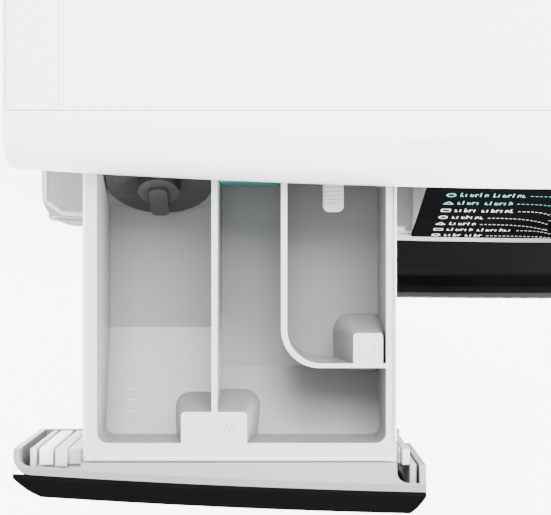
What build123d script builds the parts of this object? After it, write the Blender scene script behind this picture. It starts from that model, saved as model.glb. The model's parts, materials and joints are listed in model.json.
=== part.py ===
"""Front load washing machine, drawn with the detergent drawer pulled open.

Frame: millimetres, +Z up, the front faces -Y, +X is the right-hand side seen from the front.
The origin is at floor level, under the middle of the machine with its open drawer.
"""

from build123d import *
from math import atan2, cos, degrees, hypot, radians, sin, sqrt, tan
import os

os.makedirs("parts", exist_ok=True)

# ---------------------------------------------------------------- driving dimensions
WIDTH = 600.0  # over the side panels
HEIGHT = 850.0  # floor to the worktop
BODY_DEPTH = 545.0  # back panel to the lip under the fascia glass
BOW_RADIUS = 4550.0  # plan radius of the bowed front
SHEET = 1.0  # steel sheet of the cabinet
PLASTIC = 3.0  # wall of the large mouldings
CORNER = 9.0  # plan corner radius of the mouldings
GAP = 1.0  # joint line between neighbouring mouldings
EASE = 1.2  # small edge rounding

HALF = WIDTH / 2
DRAWER_OPEN = 148.0  # how far the drawer stands open
DRAWER_RIGHT = 196.0 - HALF  # X of the drawer's right-hand end
BAY_FLOOR = HEIGHT - 102.0  # Z of the shelf under the drawer front
GLASS_TOP = HEIGHT - 23.5
GLASS_BOTTOM = HEIGHT - 104.0
GLASS_TOP_BACK = 25.9  # top edge of the glass, behind the lip
GLASS_BOTTOM_BACK = 1.9  # bottom edge of the glass, behind the lip
GLASS_SAG = 1.1  # outward crown of the glass between its edges
GLASS_THICK = 2.0

AXIS_Z = 400.0  # drum and door axis
TUB_RADIUS = 272.0
TUB_WALL = 3.0
TUB_FRONT = 80.0  # tub front wall, behind the lip
TUB_REAR = 432.0  # outside of the tub rear wall, behind the lip
DRUM_CLEAR = 24.0  # room between the tub and the drum
DRUM_RADIUS = TUB_RADIUS - DRUM_CLEAR
DRUM_SHEET = 0.8
DOOR_RADIUS = 237.0
DOOR_PROUD = 33.6  # how far the door stands in front of the lip
PORTHOLE = 175.0  # radius of the hole in the front panel
FOOT_X = HALF - 48.0

# ---------------------------------------------------------------- derived frame
GLASS_LEAN = degrees(atan2(GLASS_TOP_BACK - GLASS_BOTTOM_BACK, GLASS_TOP - GLASS_BOTTOM))
SHELL_BOTTOM = BAY_FLOOR + GAP  # underside of the drawer front


def bow(x):
    """How far the bowed front falls back at x."""
    return BOW_RADIUS - sqrt(BOW_RADIUS**2 - x**2)


def glass_depth(z):
    """Depth of the glass face at height z, on the machine's centre line."""
    share = (z - GLASS_BOTTOM) / (GLASS_TOP - GLASS_BOTTOM)
    crown = 4 * GLASS_SAG * share * (1 - share)
    straight = GLASS_BOTTOM_BACK + share * (GLASS_TOP_BACK - GLASS_BOTTOM_BACK)
    return straight - crown / cos(radians(GLASS_LEAN))


DRAWER_NOSE = DRAWER_OPEN - glass_depth(SHELL_BOTTOM) - bow(DRAWER_RIGHT)
LIP_Y = (DRAWER_NOSE - BODY_DEPTH) / 2
REAR_Y = LIP_Y + BODY_DEPTH
BOW_AXIS_Y = LIP_Y + BOW_RADIUS
BOW_ANGLE = 5.0  # half the sweep, wider than the machine


def back(depth):
    """Y at a depth behind the lip."""
    return LIP_Y + depth


def keep(builder, label):
    """Names a finished piece and writes it out."""
    builder.part.label = label
    export_step(builder.part, f"parts/{label}.step")


def tilted(origin, lean):
    """Plane square to a line that leans up from -Y, local y up the slope, normal pointing outward."""
    return Plane(
        origin=origin,
        x_dir=(1, 0, 0),
        z_dir=(0, -cos(radians(lean)), sin(radians(lean))),
    )


def bow_plane(shift=0.0):
    """Upright plane through the bow's axis, local x rearward and local y up."""
    along = Vector(0, 1, 0).rotate(Axis.Z, -BOW_ANGLE)
    across = Vector(1, 0, 0).rotate(Axis.Z, -BOW_ANGLE)
    return Plane(origin=(0, BOW_AXIS_Y + shift, 0), x_dir=along, z_dir=across)


def profile(depth, z):
    """A point of a bowed section: depth behind the lip, height z."""
    return (depth - BOW_RADIUS, z)


def sweep_bow(face, shift=0.0, mode=Mode.ADD):
    """Sweeps a section along the bowed front."""
    axis = Axis((0, BOW_AXIS_Y + shift, 0), (0, 0, 1))
    revolve(face, axis=axis, revolution_arc=2 * BOW_ANGLE, mode=mode)


def box(x0, x1, y0, y1, z0, z1, mode=Mode.ADD):
    """A box between two opposite corners."""
    with Locations(((x0 + x1) / 2, (y0 + y1) / 2, (z0 + z1) / 2)):
        Box(abs(x1 - x0), abs(y1 - y0), abs(z1 - z0), mode=mode)


def along_y(y, x=0.0, z=AXIS_Z):
    """Plane square to the drum axis at y, its normal pointing rearward."""
    return Plane(origin=(x, y, z), x_dir=(-1, 0, 0), z_dir=(0, 1, 0))


def disc(y0, y1, radius, x=0.0, z=AXIS_Z, mode=Mode.ADD):
    """A cylinder along Y from y0 back to y1."""
    with BuildSketch(along_y(y0, x, z)) as round_face:
        Circle(radius)
    extrude(round_face.sketch, amount=y1 - y0, mode=mode)


def ring(y0, y1, outer, inner, x=0.0, z=AXIS_Z):
    """A ring along Y from y0 back to y1."""
    with BuildSketch(along_y(y0, x, z)) as ring_face:
        Circle(outer)
        Circle(inner, mode=Mode.SUBTRACT)
    extrude(ring_face.sketch, amount=y1 - y0)


def post(x, y, z0, z1, radius, mode=Mode.ADD):
    """An upright cylinder."""
    with Locations((x, y, (z0 + z1) / 2)):
        Cylinder(radius, z1 - z0, mode=mode)


def tube(x, y, z0, z1, outer, inner):
    """An upright pipe."""
    post(x, y, z0, z1, outer)
    post(x, y, z0, z1, inner, mode=Mode.SUBTRACT)


# ---------------------------------------------------------------- fascia and worktop
LID_SEAM = 58.7  # depth of the joint between worktop and fascia
ROLL_RADIUS = 22.0  # rolled front edge of the top trim
TRIM_BOTTOM = HEIGHT - ROLL_RADIUS
TRIM_FRONT = 23.9  # depth of the trim's lower front edge
LIP_BOTTOM = HEIGHT - 122.0
LIP_ROUND = 6.0
LIP_TOP = BAY_FLOOR - 3.0
PANEL_DEPTH = 12.0  # front of the steel front panel, behind the lip
BAY_BACK = 52.0  # depth of the bay's rear wall
BAY_RIGHT = DRAWER_RIGHT + GAP
TRAY_WIDTH = 149.8
TRAY_LEFT = 32.5 - HALF
TRAY_RIGHT = TRAY_LEFT + TRAY_WIDTH
TRAY_TOP = HEIGHT - 30.0
TRAY_FLOOR = HEIGHT - 85.0
TRAY_GAP = 1.5  # clearance round the tray in its housing
MOUTH_GAP = 2.5  # clearance round the tray in the bay's rear wall
KNOB_X = -8.0
KNOB_Z = HEIGHT - 79.0
KNOB_RADIUS = 25.0
KNOB_HEIGHT = 17.0
SPINDLE_RADIUS = 4.0
RUNNING = 0.06  # radial clearance of a turning or sliding fit
BUTTON_RADIUS = 9.5
BUTTON_Z = HEIGHT - 64.0
POWER_X = HALF - 38.0
START_X = POWER_X - 40.0
BUTTON_GAP = 0.35
BUTTON_PROUD = 1.8
BUTTON_LENGTH = 9.0
DISPLAY_X = 112.0
DISPLAY_Z = HEIGHT - 64.0
DISPLAY_WIDTH = 128.0
DISPLAY_HEIGHT = 56.0
BOARD_INWARD = 12.0  # control board, behind the face of the glass
BOARD_THICK = 3.0
EDGE_ROUND = 3.0


def glass_points(inward):
    """Bottom, middle and top of the glass section, shifted inward from its face."""
    rise = GLASS_TOP - GLASS_BOTTOM
    run = GLASS_TOP_BACK - GLASS_BOTTOM_BACK
    length = hypot(rise, run)
    inner = (rise / length, -run / length)
    middle_depth = (GLASS_BOTTOM_BACK + GLASS_TOP_BACK) / 2 - inner[0] * GLASS_SAG
    middle_z = (GLASS_BOTTOM + GLASS_TOP) / 2 - inner[1] * GLASS_SAG
    points = [
        (GLASS_BOTTOM_BACK, GLASS_BOTTOM),
        (middle_depth, middle_z),
        (GLASS_TOP_BACK, GLASS_TOP),
    ]
    return [profile(d + inner[0] * inward, z + inner[1] * inward) for d, z in points]


def glass_face(front, rear, shift=0.0):
    """Section that follows the glass from one inward distance to another."""
    near = glass_points(front)
    far = glass_points(rear)
    with BuildSketch(bow_plane(shift)) as section:
        with BuildLine():
            ThreePointArc(*near)
            Line(near[2], far[2])
            ThreePointArc(*reversed(far))
            Line(far[0], near[0])
        make_face()
    return section.sketch


def on_glass(x, z, inward=0.0):
    """Plane square to the glass at x and z, inward of its face, its normal pointing outward."""
    share = (z - GLASS_BOTTOM) / (GLASS_TOP - GLASS_BOTTOM)
    turn = 4 * GLASS_SAG * (1 - 2 * share) / (GLASS_TOP - GLASS_BOTTOM)
    lean = degrees(tan(radians(GLASS_LEAN)) - turn)
    return tilted((x, back(glass_depth(z) + bow(x)), z), lean).offset(-inward)


def pin_through_glass(x, z, outward, inward, radius, mode=Mode.ADD):
    """A cylinder square to the glass, from outward of its face to inward of it."""
    with BuildSketch(on_glass(x, z, inward)) as face:
        Circle(radius)
    extrude(face.sketch, amount=outward + inward, mode=mode)


def fascia_face(rear, inset):
    """Section of the fascia moulding, its back at a depth, drawn inset by a wall."""
    seat = glass_points(GLASS_THICK + inset)
    roll = ROLL_RADIUS - inset
    low = LIP_BOTTOM + inset
    chamfer = 2 * EASE
    under = GLASS_TOP + inset
    end_z = max(TRIM_BOTTOM, under)
    end_depth = TRIM_FRONT + ROLL_RADIUS - sqrt(roll**2 - (end_z - TRIM_BOTTOM) ** 2)
    with BuildSketch(bow_plane()) as section:
        with BuildLine():
            Line(profile(rear, HEIGHT - inset), profile(TRIM_FRONT + ROLL_RADIUS, HEIGHT - inset))
            RadiusArc(
                profile(TRIM_FRONT + ROLL_RADIUS, HEIGHT - inset),
                profile(end_depth, end_z),
                -roll,
            )
            if end_z > under:
                Line(profile(end_depth, end_z), profile(end_depth, under))
            Polyline(profile(end_depth, under), (seat[2][0], under), seat[2])
            ThreePointArc(*reversed(seat))
            Polyline(
                seat[0],
                profile(seat[0][0] + BOW_RADIUS, LIP_TOP - inset),
                profile(chamfer + inset, LIP_TOP - inset),
                profile(inset, LIP_TOP - inset - chamfer),
                profile(inset, low + LIP_ROUND),
            )
            RadiusArc(
                profile(inset, low + LIP_ROUND), profile(inset + LIP_ROUND, low), LIP_ROUND
            )
            Polyline(
                profile(inset + LIP_ROUND, low),
                profile(rear, low),
                profile(rear, HEIGHT - inset),
            )
        make_face()
    return section.sketch


def plan_outline(front, rear, inset, radius):
    """Plan of the machine between two depths, its front bowed and its front corners rounded."""
    half = HALF - inset
    corner = back(front + bow(half))
    with BuildSketch(Plane.XY) as plan:
        with BuildLine():
            ThreePointArc((-half, corner), (0, back(front)), (half, corner))
            Polyline((half, corner), (half, back(rear)), (-half, back(rear)), (-half, corner))
        make_face()
        fillet(plan.vertices().group_by(Axis.Y)[0], radius)
    return plan.sketch


DRAWER_TOP = GLASS_TOP - 1.5  # top of the drawer front, clear under the trim
DRAWER_SIDE_BACK = 49.0  # depth of the rear edge of the drawer's side wall
DRAWER_WALL = 3.0

with BuildPart() as fascia_solid:
    sweep_bow(fascia_face(LID_SEAM, 0))
    extrude(plan_outline(0, LID_SEAM, 0, 2 * CORNER), amount=HEIGHT, mode=Mode.INTERSECT)

with BuildPart() as fascia_inside:
    sweep_bow(fascia_face(LID_SEAM + PLASTIC, PLASTIC))
    box(
        PLASTIC - HALF, HALF - PLASTIC, back(0), back(LID_SEAM + PLASTIC), 0, HEIGHT,
        mode=Mode.INTERSECT,
    )
    box(
        -HALF, BAY_RIGHT + PLASTIC, back(0), back(BAY_BACK + PLASTIC),
        BAY_FLOOR - PLASTIC, HEIGHT - 2 * PLASTIC, mode=Mode.SUBTRACT,
    )

with BuildPart() as fascia_housing:
    add(fascia_solid.part)
    add(fascia_inside.part, mode=Mode.SUBTRACT)
    box(-HALF - GAP, BAY_RIGHT, back(-PLASTIC), back(BAY_BACK), BAY_FLOOR, GLASS_TOP,
        mode=Mode.SUBTRACT)
    box(TRAY_LEFT - MOUTH_GAP, TRAY_RIGHT + MOUTH_GAP, back(BAY_BACK - GAP),
        back(BAY_BACK + PLASTIC + GAP), TRAY_FLOOR - 2 * MOUTH_GAP, GLASS_TOP, mode=Mode.SUBTRACT)
    pin_through_glass(KNOB_X, KNOB_Z, GAP, 4 * PLASTIC, SPINDLE_RADIUS + GAP, mode=Mode.SUBTRACT)
    for button_x in (POWER_X, START_X):
        pin_through_glass(button_x, BUTTON_Z, GAP, 4 * PLASTIC, BUTTON_RADIUS + GAP,
                          mode=Mode.SUBTRACT)
    with BuildSketch(on_glass(DISPLAY_X, DISPLAY_Z, 4 * PLASTIC)) as window:
        Rectangle(DISPLAY_WIDTH + 2 * GAP, DISPLAY_HEIGHT)
    extrude(window.sketch, amount=6 * PLASTIC, mode=Mode.SUBTRACT)

keep(fascia_housing, "fascia_housing")

with BuildPart() as fascia_glass:
    sweep_bow(glass_face(0, GLASS_THICK))
    box(BAY_RIGHT, HALF - EASE, back(-GAP), back(LID_SEAM), GLASS_BOTTOM - GAP, GLASS_TOP,
        mode=Mode.INTERSECT)
    pin_through_glass(KNOB_X, KNOB_Z, GAP, 2 * GLASS_THICK, SPINDLE_RADIUS + BUTTON_GAP,
                      mode=Mode.SUBTRACT)
    for button_x in (POWER_X, START_X):
        pin_through_glass(button_x, BUTTON_Z, GAP, 2 * GLASS_THICK, BUTTON_RADIUS + BUTTON_GAP,
                          mode=Mode.SUBTRACT)

keep(fascia_glass, "fascia_glass")

with BuildPart() as control_module:
    sweep_bow(glass_face(BOARD_INWARD, BOARD_INWARD + BOARD_THICK))
    box(KNOB_X - 2 * KNOB_RADIUS, POWER_X + 2 * BUTTON_RADIUS, back(0), back(LID_SEAM),
        GLASS_BOTTOM + PLASTIC, HEIGHT - 4 * PLASTIC, mode=Mode.INTERSECT)
    with BuildSketch(on_glass(DISPLAY_X, DISPLAY_Z, BOARD_INWARD + GAP)) as display_face:
        Rectangle(DISPLAY_WIDTH, DISPLAY_HEIGHT - 2 * GAP)
    extrude(display_face.sketch, amount=BOARD_INWARD - 2 * GLASS_THICK)
    pin_through_glass(KNOB_X, KNOB_Z, -2 * PLASTIC, BOARD_INWARD + BOARD_THICK,
                      3 * SPINDLE_RADIUS)
    pin_through_glass(KNOB_X, KNOB_Z, GAP, 2 * BOARD_INWARD, SPINDLE_RADIUS + RUNNING,
                      mode=Mode.SUBTRACT)
    for button_x in (POWER_X, START_X):
        pin_through_glass(button_x, BUTTON_Z, GAP, 2 * BOARD_INWARD, BUTTON_RADIUS / 2,
                          mode=Mode.SUBTRACT)

keep(control_module, "control_module")


def push_button(x):
    """A round push button through the fascia glass."""
    with BuildPart() as button:
        pin_through_glass(x, BUTTON_Z, BUTTON_PROUD, BUTTON_LENGTH - BUTTON_PROUD, BUTTON_RADIUS)
        fillet(button.edges().filter_by(GeomType.CIRCLE).sort_by(Axis.Y)[0], EASE)
        pin_through_glass(x, BUTTON_Z, -BUTTON_LENGTH / 2, 2 * BOARD_INWARD, BUTTON_RADIUS / 4)
    return button


power_button = push_button(POWER_X)
keep(power_button, "power_button")
start_button = push_button(START_X)
keep(start_button, "start_button")

KNOB_CLEAR = 0.8
with BuildPart() as programme_knob:
    with BuildSketch(on_glass(KNOB_X, KNOB_Z, -KNOB_CLEAR)) as knob_face:
        Circle(KNOB_RADIUS)
    extrude(knob_face.sketch, amount=KNOB_HEIGHT, taper=3)
    fillet(programme_knob.edges().filter_by(GeomType.CIRCLE).sort_by(Axis.Y)[0], 2 * EASE)
    pin_through_glass(KNOB_X, KNOB_Z, 2 * KNOB_CLEAR, BOARD_INWARD + 2 * BOARD_THICK,
                      SPINDLE_RADIUS)

keep(programme_knob, "programme_knob")

FRAME_LOW = HEIGHT - 24.0
LID_BORDER = 28.0
LID_DROP = 0.8  # the board lies this far below its border
LID_REAR_BORDER = 20.0
LID_FRONT_BORDER = 1.5
BOARD_HEIGHT = 13.0
LEDGE = 5.0
SEAM = 0.4


def lid_outline(inset, front, rear):
    """Plan of the worktop, inset from its rim, its rear corners rounded."""
    with BuildSketch(Plane.XY.offset(FRAME_LOW)) as plan:
        with Locations((0, (front + rear) / 2)):
            Rectangle(WIDTH - 2 * inset, rear - front)
        fillet(plan.vertices().group_by(Axis.Y)[-1], CORNER)
    return plan.sketch


def lid_opening(grow, z0, z1, mode):
    """The rectangle that the board fills, between two heights."""
    box(LID_BORDER - HALF - grow, HALF - LID_BORDER + grow,
        back(LID_SEAM + SEAM + LID_FRONT_BORDER) - grow, REAR_Y - LID_REAR_BORDER + grow,
        z0, z1, mode=mode)


with BuildPart() as worktop_frame:
    extrude(lid_outline(0, back(LID_SEAM + SEAM), REAR_Y), amount=HEIGHT - FRAME_LOW)
    extrude(lid_outline(PLASTIC, back(LID_SEAM + SEAM - PLASTIC), REAR_Y - PLASTIC),
            amount=HEIGHT - FRAME_LOW - BOARD_HEIGHT - 2 * PLASTIC, mode=Mode.SUBTRACT)
    lid_opening(0, HEIGHT - BOARD_HEIGHT - LID_DROP, HEIGHT + GAP, Mode.SUBTRACT)
    lid_opening(-LEDGE, FRAME_LOW - GAP, HEIGHT, Mode.SUBTRACT)
    rim = [e for e in worktop_frame.edges() if e.center().Z > HEIGHT - GAP / 10]
    sides = [e for e in rim if abs(abs(e.center().X) - HALF) < GAP or e.center().Y > REAR_Y - GAP]
    fillet(sides, EDGE_ROUND)

keep(worktop_frame, "worktop_frame")

with BuildPart() as worktop_board:
    lid_opening(-SEAM / 2, HEIGHT - BOARD_HEIGHT - LID_DROP, HEIGHT - LID_DROP, Mode.ADD)

keep(worktop_board, "worktop_board")

# ---------------------------------------------------------------- cabinet
BASE_LOW = 16.0
BASE_HIGH = 36.0
BASE_RAIL = 50.0
PANEL_TOP = LIP_BOTTOM - SEAM
FLANGE = 15.0
PANEL_GAP = 0.3
FOOT_FRONT = 62.0  # depth of the front feet
FOOT_REAR = BODY_DEPTH - 62.0
STUD_RADIUS = 5.0
PAD_RADIUS = 22.0
PAD_HEIGHT = 10.0
NUT_RADIUS = 10.0
NUT_LOW = 11.5
NUT_HIGH = 15.5
STUD_TOP = 62.0
PUMP_X = 200.0
PUMP_Z = 78.0
PEDESTAL_HALF = 20.0
PEDESTAL_LENGTH = 12.0
PEDESTALS = (42.0, 145.0)  # depths of the two feet under the pump
FLAP_WIDTH = 120.0
FLAP_HEIGHT = 80.0
FLAP_THICK = 2.5
FLAP_GRIP = 14.0
FLAP_HINGE_GAP = 2.0
FLAP_PIN = 1.5
FLAP_HINGE_X = PUMP_X - FLAP_WIDTH / 2 + FLAP_HINGE_GAP + GAP
FLAP_HINGE_DEPTH = PANEL_DEPTH + SHEET + 2.6
VALVE_X = HALF - 75.0
VALVE_Z = HEIGHT - 68.0
VALVE_WIDTH = 40.0
VALVE_BODY_HEIGHT = 44.0
VALVE_LENGTH = 52.0
VALVE_SPIGOT = 14.0
VALVE_RECESS = 18.0
VALVE_POCKET = 58.0
NIPPLE_RADIUS = 13.2  # G3/4 thread
NIPPLE_LENGTH = 13.0
DRAIN_HOLE = 16.0
DRAIN_X = 200.0
GLAND_X = 75.0 - HALF
GLAND_Z = HEIGHT - 90.0
GLAND_RADIUS = 9.0
TRANSIT_X = 150.0
TRANSIT_LOW = 215.0
TRANSIT_HIGH = 585.0
TRANSIT_RADIUS = 17.0
HINGE_X = 5.0 - DOOR_RADIUS
HINGE_DEPTH = -14.0
PIN_RADIUS = 3.0
KNUCKLE = 5.0
HINGE_HALF = 55.0  # half height of the hinge pin
LEAF_HALF = 40.0
LOCK_X = DOOR_RADIUS - 25.0
LOCK_HALF = 42.0
HOOK_HALF = 12.0
SPRING_X = TUB_RADIUS - 32.0
SPRING_DEPTH = 320.0
SPRING_TOP = HEIGHT - 160.0
SPRING_BOTTOM = AXIS_Z + 170.0
SPRING_OUTER = 13.0
SPRING_WIRE = 3.0
SLOT_HALF = 16.0


SCREW_RADIUS = 4.5
SCREW_INSET = 7.0
SCREW_PLACES = [
    (x, z)
    for x in (SCREW_INSET - HALF, HALF - SCREW_INSET)
    for z in (TRANSIT_LOW / 2, AXIS_Z, FRAME_LOW - 2 * FLANGE)
]
BACK_FRONT = REAR_Y - 2 * SHEET - PANEL_GAP  # inner face of the back panel
BACK_REAR = BACK_FRONT + SHEET

with BuildPart() as cabinet_screws:
    for screw_x, screw_z in SCREW_PLACES:
        disc(BACK_FRONT - 2 * PLASTIC, REAR_Y - EASE / 2, SCREW_RADIUS / 2, screw_x, screw_z)
        disc(REAR_Y - EASE / 2, REAR_Y, SCREW_RADIUS, screw_x, screw_z)

keep(cabinet_screws, "cabinet_screws")

with BuildPart() as screw_holes:
    for screw_x, screw_z in SCREW_PLACES:
        disc(BACK_FRONT - GAP, REAR_Y + GAP, SCREW_RADIUS / 2 + RUNNING, screw_x, screw_z)
        disc(REAR_Y - EASE / 2, REAR_Y + GAP, SCREW_RADIUS + RUNNING, screw_x, screw_z)


def side_panel(side):
    """Steel side of the cabinet with folded front and rear flanges and a spring bracket."""
    outer = side * HALF
    inner = side * (HALF - SHEET)
    fold = side * (HALF - FLANGE)
    front = back(PANEL_DEPTH + SHEET + PANEL_GAP)
    with BuildPart() as panel:
        box(inner, outer, front, REAR_Y, BASE_LOW, PANEL_TOP)
        box(inner, outer, back(LID_SEAM + SEAM), REAR_Y, PANEL_TOP, FRAME_LOW - SEAM)
        box(fold, outer, front, front + SHEET, BASE_HIGH + GAP, PANEL_TOP)
        box(fold, outer, REAR_Y - SHEET, REAR_Y, BASE_HIGH + GAP, FRAME_LOW - SEAM)
        bracket = side * (SPRING_X - SPRING_OUTER)
        box(bracket, outer, back(SPRING_DEPTH) - SPRING_OUTER, back(SPRING_DEPTH) + SPRING_OUTER,
            SPRING_TOP, SPRING_TOP + PLASTIC)
        add(screw_holes.part, mode=Mode.SUBTRACT)
    return panel


side_panel_left = side_panel(-1)
keep(side_panel_left, "side_panel_left")
side_panel_right = side_panel(1)
keep(side_panel_right, "side_panel_right")

with BuildPart() as back_panel:
    edge = HALF - SHEET - PANEL_GAP
    box(-edge, edge, BACK_FRONT, BACK_REAR, BASE_HIGH + GAP, FRAME_LOW - SEAM)
    box(VALVE_X - VALVE_POCKET / 2, VALVE_X + VALVE_POCKET / 2, BACK_FRONT - VALVE_RECESS,
        BACK_REAR, VALVE_Z - VALVE_POCKET / 2, VALVE_Z + VALVE_POCKET / 2)
    box(VALVE_X - VALVE_POCKET / 2 + SHEET, VALVE_X + VALVE_POCKET / 2 - SHEET,
        BACK_FRONT - VALVE_RECESS + SHEET, BACK_REAR + GAP, VALVE_Z - VALVE_POCKET / 2 + SHEET,
        VALVE_Z + VALVE_POCKET / 2 - SHEET, mode=Mode.SUBTRACT)
    disc(BACK_FRONT - 2 * VALVE_RECESS, REAR_Y, NIPPLE_RADIUS + GAP, VALVE_X, VALVE_Z,
         Mode.SUBTRACT)
    disc(BACK_FRONT - GAP, REAR_Y, DRAIN_HOLE, DRAIN_X, PUMP_Z, Mode.SUBTRACT)
    disc(BACK_FRONT - GAP, REAR_Y, GLAND_RADIUS + RUNNING, GLAND_X, GLAND_Z, Mode.SUBTRACT)
    for hole_x in (-TRANSIT_X, TRANSIT_X):
        for hole_z in (TRANSIT_LOW, TRANSIT_HIGH):
            disc(BACK_FRONT - GAP, REAR_Y, TRANSIT_RADIUS, hole_x, hole_z, Mode.SUBTRACT)
    add(screw_holes.part, mode=Mode.SUBTRACT)

keep(back_panel, "back_panel")

with BuildPart() as front_panel:
    edge = HALF - PANEL_GAP
    box(-edge, edge, back(PANEL_DEPTH), back(PANEL_DEPTH) + SHEET, BASE_LOW + SEAM, PANEL_TOP)
    fillet(front_panel.edges().filter_by(Axis.Y), 2 * EASE)
    disc(back(PANEL_DEPTH) - GAP, back(PANEL_DEPTH) + 2 * SHEET, PORTHOLE, mode=Mode.SUBTRACT)
    box(PUMP_X - FLAP_WIDTH / 2 - FLAP_HINGE_GAP, PUMP_X + FLAP_WIDTH / 2 + SEAM,
        back(PANEL_DEPTH) - GAP, back(PANEL_DEPTH) + 2 * SHEET,
        PUMP_Z - FLAP_HEIGHT / 2 - SEAM, PUMP_Z + FLAP_HEIGHT / 2 + SEAM, mode=Mode.SUBTRACT)
    box(LOCK_X - SLOT_HALF, LOCK_X + SLOT_HALF, back(PANEL_DEPTH) - GAP,
        back(PANEL_DEPTH) + 2 * SHEET, AXIS_Z - HOOK_HALF - 2 * GAP,
        AXIS_Z + HOOK_HALF + 2 * GAP, mode=Mode.SUBTRACT)
    pin_half = FLAP_HEIGHT / 2 + 2 * PLASTIC
    for end in (-pin_half, pin_half - PLASTIC - GAP):
        box(FLAP_HINGE_X - 2 * FLAP_PIN, FLAP_HINGE_X + 3 * FLAP_PIN,
            back(PANEL_DEPTH) + SHEET, back(FLAP_HINGE_DEPTH) + 2 * FLAP_PIN,
            PUMP_Z + end, PUMP_Z + end + PLASTIC + GAP)
    post(FLAP_HINGE_X, back(FLAP_HINGE_DEPTH), PUMP_Z - pin_half, PUMP_Z + pin_half, FLAP_PIN)

keep(front_panel, "front_panel")

FEET = {
    "foot_front_left": (-FOOT_X, back(FOOT_FRONT)),
    "foot_front_right": (FOOT_X, back(FOOT_FRONT)),
    "foot_rear_left": (-FOOT_X, back(FOOT_REAR)),
    "foot_rear_right": (FOOT_X, back(FOOT_REAR)),
}
BASE_FRONT = back(PANEL_DEPTH + 2 * SHEET + 2 * PANEL_GAP)

with BuildPart() as base_frame:
    edge = HALF - SHEET - PANEL_GAP
    box(-edge, edge, BASE_FRONT, BACK_REAR, BASE_LOW, BASE_HIGH)
    box(BASE_RAIL - edge, edge - BASE_RAIL, BASE_FRONT + BASE_RAIL, BACK_REAR - BASE_RAIL,
        BASE_LOW - GAP, BASE_HIGH + GAP, mode=Mode.SUBTRACT)
    box(PUMP_X - PEDESTAL_HALF - PLASTIC, HALF - BASE_RAIL, back(PEDESTALS[1] - PLASTIC),
        back(PEDESTALS[1] + PEDESTAL_LENGTH + PLASTIC), BASE_LOW, BASE_HIGH)
    for foot_x, foot_y in FEET.values():
        post(foot_x, foot_y, BASE_HIGH, BASE_HIGH + PLASTIC, 3 * STUD_RADIUS)
        post(foot_x, foot_y, BASE_LOW - GAP, HEIGHT, STUD_RADIUS + RUNNING, Mode.SUBTRACT)
    box(FLAP_HINGE_X - 3 * PLASTIC, FLAP_HINGE_X + 3 * PLASTIC, BASE_FRONT - GAP,
        BASE_FRONT + 3 * PLASTIC, BASE_HIGH - 2 * PLASTIC, BASE_HIGH + GAP, mode=Mode.SUBTRACT)

keep(base_frame, "base_frame")


def levelling_foot(x, y):
    """Rubber-soled pad on a threaded stud."""
    with BuildPart() as foot:
        post(x, y, 0, PAD_HEIGHT, PAD_RADIUS)
        chamfer(foot.edges().group_by(Axis.Z)[-1], 2 * EASE)
        fillet(foot.edges().group_by(Axis.Z)[0], EASE)
        post(x, y, PAD_HEIGHT, STUD_TOP, STUD_RADIUS)
    return foot


for foot_name, (foot_x, foot_y) in FEET.items():
    keep(levelling_foot(foot_x, foot_y), foot_name)

with BuildPart() as foot_lock_nuts:
    for foot_x, foot_y in FEET.values():
        with BuildSketch(Plane.XY.offset(NUT_LOW)) as nut_face:
            with Locations((foot_x, foot_y)):
                RegularPolygon(NUT_RADIUS, 6)
                Circle(STUD_RADIUS + RUNNING, mode=Mode.SUBTRACT)
        extrude(nut_face.sketch, amount=NUT_HIGH - NUT_LOW)

keep(foot_lock_nuts, "foot_lock_nuts")

RAIL_LOW = HEIGHT - 152.0
RAIL_HIGH = RAIL_LOW + 24.0
RAIL_DEPTHS = (64.0, BODY_DEPTH - 67.0)
RAIL_WIDTH = 34.0
with BuildPart() as top_rails:
    for rail_depth in RAIL_DEPTHS:
        edge = HALF - SHEET - PANEL_GAP
        y0 = back(rail_depth)
        box(-edge, edge, y0, y0 + RAIL_WIDTH, RAIL_LOW, RAIL_HIGH)
        box(-edge - GAP, edge + GAP, y0 + SHEET, y0 + RAIL_WIDTH - SHEET, RAIL_LOW - GAP,
            RAIL_HIGH - SHEET, mode=Mode.SUBTRACT)

keep(top_rails, "top_rails")

with BuildPart() as mains_gland:
    disc(BACK_FRONT - 2 * PLASTIC, REAR_Y, GLAND_RADIUS, GLAND_X, GLAND_Z)
    disc(BACK_FRONT - 2 * PLASTIC, BACK_FRONT, GLAND_RADIUS + PLASTIC, GLAND_X, GLAND_Z)
    disc(BACK_FRONT - 3 * PLASTIC, REAR_Y + GAP, GLAND_RADIUS / 2, GLAND_X, GLAND_Z,
         Mode.SUBTRACT)

keep(mains_gland, "mains_gland")

with BuildPart() as inlet_valve:
    body_rear = BACK_FRONT - VALVE_RECESS - GAP
    box(VALVE_X - VALVE_WIDTH / 2, VALVE_X + VALVE_WIDTH / 2, body_rear - VALVE_LENGTH,
        body_rear, VALVE_Z - VALVE_BODY_HEIGHT / 2, VALVE_Z + VALVE_BODY_HEIGHT / 2)
    disc(body_rear, body_rear + GAP + SHEET + NIPPLE_LENGTH, NIPPLE_RADIUS, VALVE_X, VALVE_Z)
    disc(body_rear + GAP, REAR_Y, NIPPLE_RADIUS - PLASTIC, VALVE_X, VALVE_Z, Mode.SUBTRACT)
    disc(body_rear - VALVE_LENGTH - VALVE_SPIGOT, body_rear - VALVE_LENGTH, NIPPLE_RADIUS / 2,
         VALVE_X, VALVE_Z)

keep(inlet_valve, "inlet_valve")

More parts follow.
